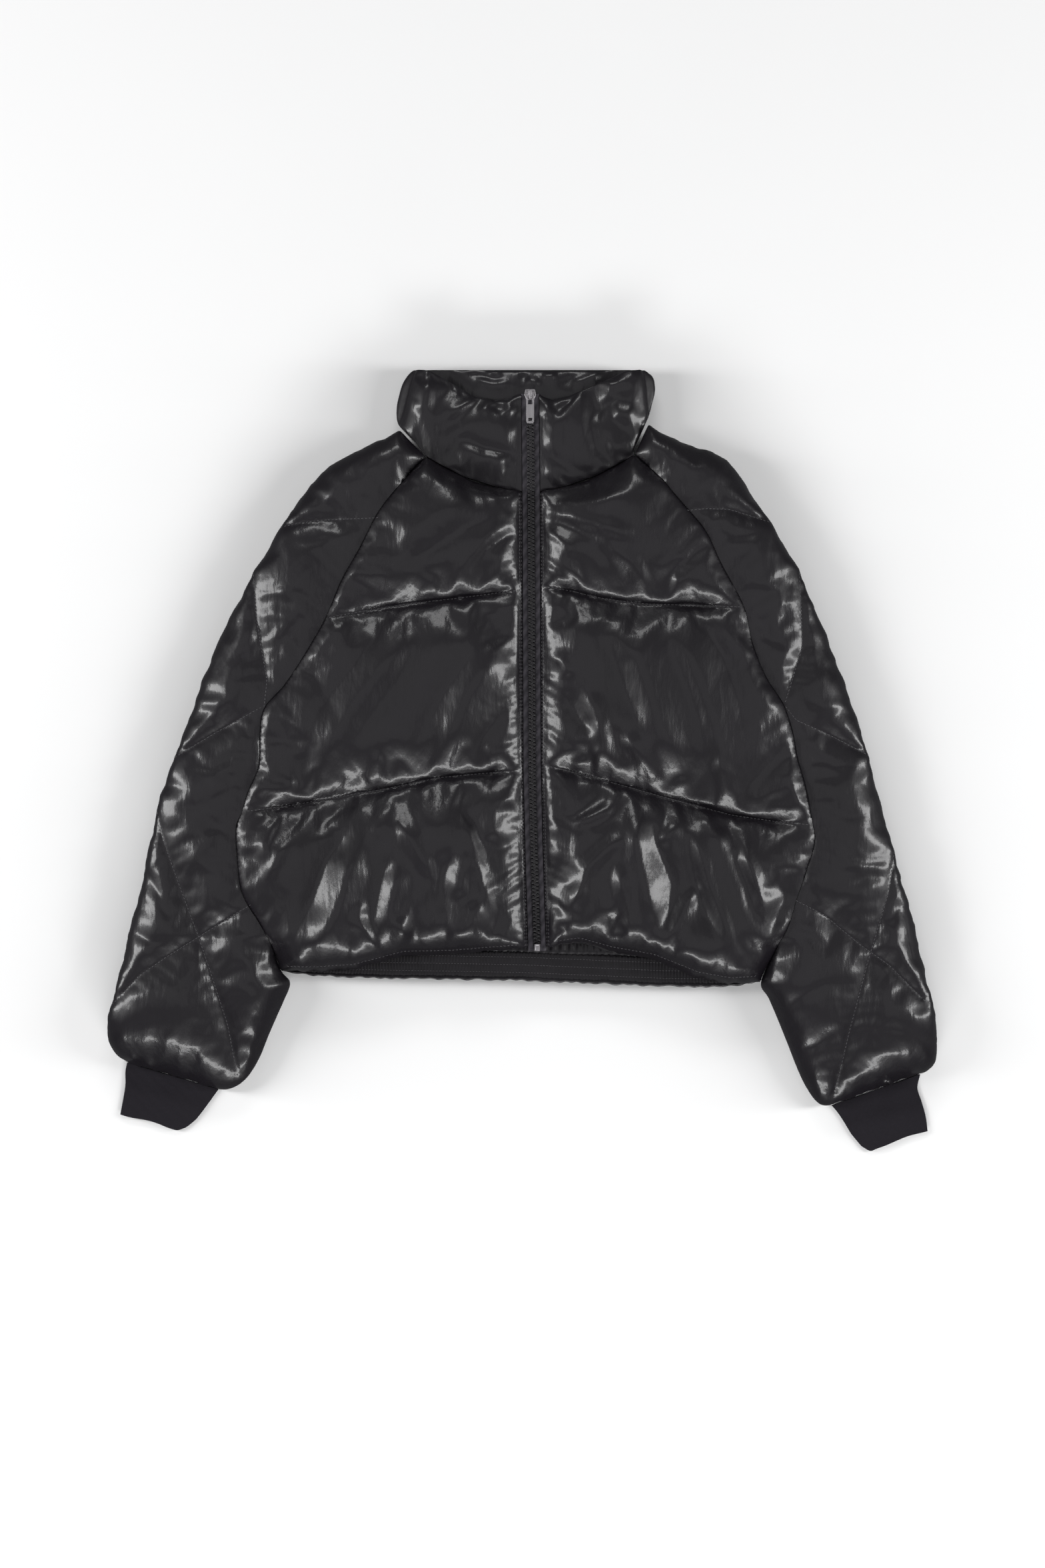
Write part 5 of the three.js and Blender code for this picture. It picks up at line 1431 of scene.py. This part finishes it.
# Stitches
def surface_below(pieces):
    """Finds the highest surface under a plan position, with its normal."""
    dg = bpy.context.evaluated_depsgraph_get()
    trees = [BVHTree.FromObject(piece, dg) for piece in pieces]

    def find(x, y):
        hits = [tree.ray_cast(Vector((x, y, 0.2)), Vector((0, 0, -1))) for tree in trees]
        hits = [h for h in hits if h[0] is not None]
        return max(hits, key=lambda h: h[0].z)[:2] if hits else (None, None)

    return find


def stitch_run(find, run, places, pitch=STITCH_PITCH):
    """Adds the place and turn of every stitch of a seam that lies on the cloth."""
    run = even(run, pitch)
    middles = (run[1:] + run[:-1]) / 2
    ahead = run[1:] - run[:-1]
    for (x, y), (dx, dy) in zip(middles, ahead):
        spot, normal = find((x - OFFSET[0]) * MM, (y - OFFSET[1]) * MM)
        if spot is None:
            continue
        way = Vector((dx, dy, 0)).normalized()
        way = (way - normal * way.dot(normal)).normalized()
        side = normal.cross(way)
        turn = np.array([tuple(way), tuple(side), tuple(normal)]).T
        places.append((turn, tuple(Vector(spot) / MM)))


def one_stitch(length=STITCH_LENGTH, thick=0.62):
    """A stitch that dips into the cloth at both ends."""
    stitch = start_block("stitch", (length, thick, thick), (0, 0, 0.12), THREAD)
    bpy.ops.object.mode_set(mode="EDIT")
    cut_across(0, -0.25 * length, 0.25 * length)
    pick_faces(stitch, lambda centre, normal: abs(normal.x) > 0.9)
    bpy.ops.transform.resize(value=(1, 0.45, 0.45))
    bpy.ops.transform.translate(value=(0, 0, -0.28 * MM))
    bevelled(stitch, 0.12, 1)
    return stitch


def quilting_stitches():
    """Stitches of the quilting, beside the zip and along the hem."""
    find = surface_below([piece for piece, *_ in sewing])
    places = []
    for half in HALVES.values():
        for row in (UPPER_SEAM, LOWER_SEAM):
            stitch_run(find, front_point(half, row, span(0.03, 0.985)), places)
        for run in half["quilting"]:
            stitch_run(find, [(half["side"] * x, y) for x, y in run], places)
        opening = front_point(half, span(0.15, HEM - 0.1, 120), 0)
        for inset in (0.9, 2.6):
            stitch_run(find, opening + np.array([half["side"] * inset, 0]), places)
        stitch_run(find, front_point(half, HEM - 0.25, span(0.04, 0.97)), places)
    finished(copies("quilting_stitches", one_stitch(), places, THREAD), "nylon")


def elastic_stitches():
    """Three lines of shorter stitches along the elastic."""
    find = surface_below([elastic])
    places = []
    hem = back_point(HEM, span(0.045, 0.955, 200))
    for v in ELASTIC_SEAMS:
        stitch_run(find, hem + np.array([0, ELASTIC_INSET + ELASTIC_WIDTH * v]), places, 3.0)
    finished(copies("elastic_stitches", one_stitch(2.2, 0.5), places, THREAD), "elastic")


quilting_stitches()
elastic_stitches()


# Surface, light and camera
bpy.ops.object.select_all(action="DESELECT")
bpy.ops.mesh.primitive_plane_add(size=8)
floor = bpy.context.object
floor.name = "pale_floor"
floor.data.materials.append(matt_paper())
floor.visible_glossy = False  # as with a black flag, the gloss doesn't mirror the white paper


def softbox(name, place, aim, size, power):
    light = bpy.data.lights.new(name, "AREA")
    light.shape = "RECTANGLE"
    light.size, light.size_y = size
    light.energy = power
    lamp = bpy.data.objects.new(name, light)
    lamp.location = place
    lamp.rotation_euler = (Vector(aim) - Vector(place)).to_track_quat("-Z", "Y").to_euler()
    bpy.context.collection.objects.link(lamp)


softbox("softbox_left", (-2.4, 0.3, 1.3), (0, 0, 0), (0.5, 2.2), 50)
softbox("softbox_right", (2.4, 0.1, 1.25), (0, 0, 0), (0.5, 2.2), 47)
softbox("softbox_foot", (0.1, -2.6, 1.3), (0, -0.1, 0), (2.4, 0.5), 53)
softbox("softbox_top", (0, 0, 6.5), (0, 0, 0), (4.0, 4.0), 24)
softbox("softbox_head", (-0.2, 2.6, 2.0), (0, 0.1, 0), (1.4, 0.6), 20)

world = bpy.data.worlds.new("pale_studio")
world.use_nodes = True
backdrop = next(n for n in world.node_tree.nodes if n.type == "BACKGROUND")
backdrop.inputs["Color"].default_value = linear("f4f5f7")
backdrop.inputs["Strength"].default_value = 0.12
bpy.context.scene.world = world

# The photograph is taken from straight above: 1568 by 2352 pixels of 0.65 mm at mid height.
PHOTO_TALL, CAMERA_HEIGHT, MID_HEIGHT = 2352 * 0.65 * MM, 5.0, 0.045
camera = bpy.data.cameras.new("camera")
camera.sensor_fit = "VERTICAL"
camera.sensor_height = 36
camera.lens = 36 * CAMERA_HEIGHT / PHOTO_TALL
camera.clip_end = 50
eye = bpy.data.objects.new("camera", camera)
eye.location = (-0.0002, -0.0216, CAMERA_HEIGHT + MID_HEIGHT)
bpy.context.collection.objects.link(eye)
bpy.context.scene.camera = eye
bpy.context.scene.view_settings.view_transform = "Standard"
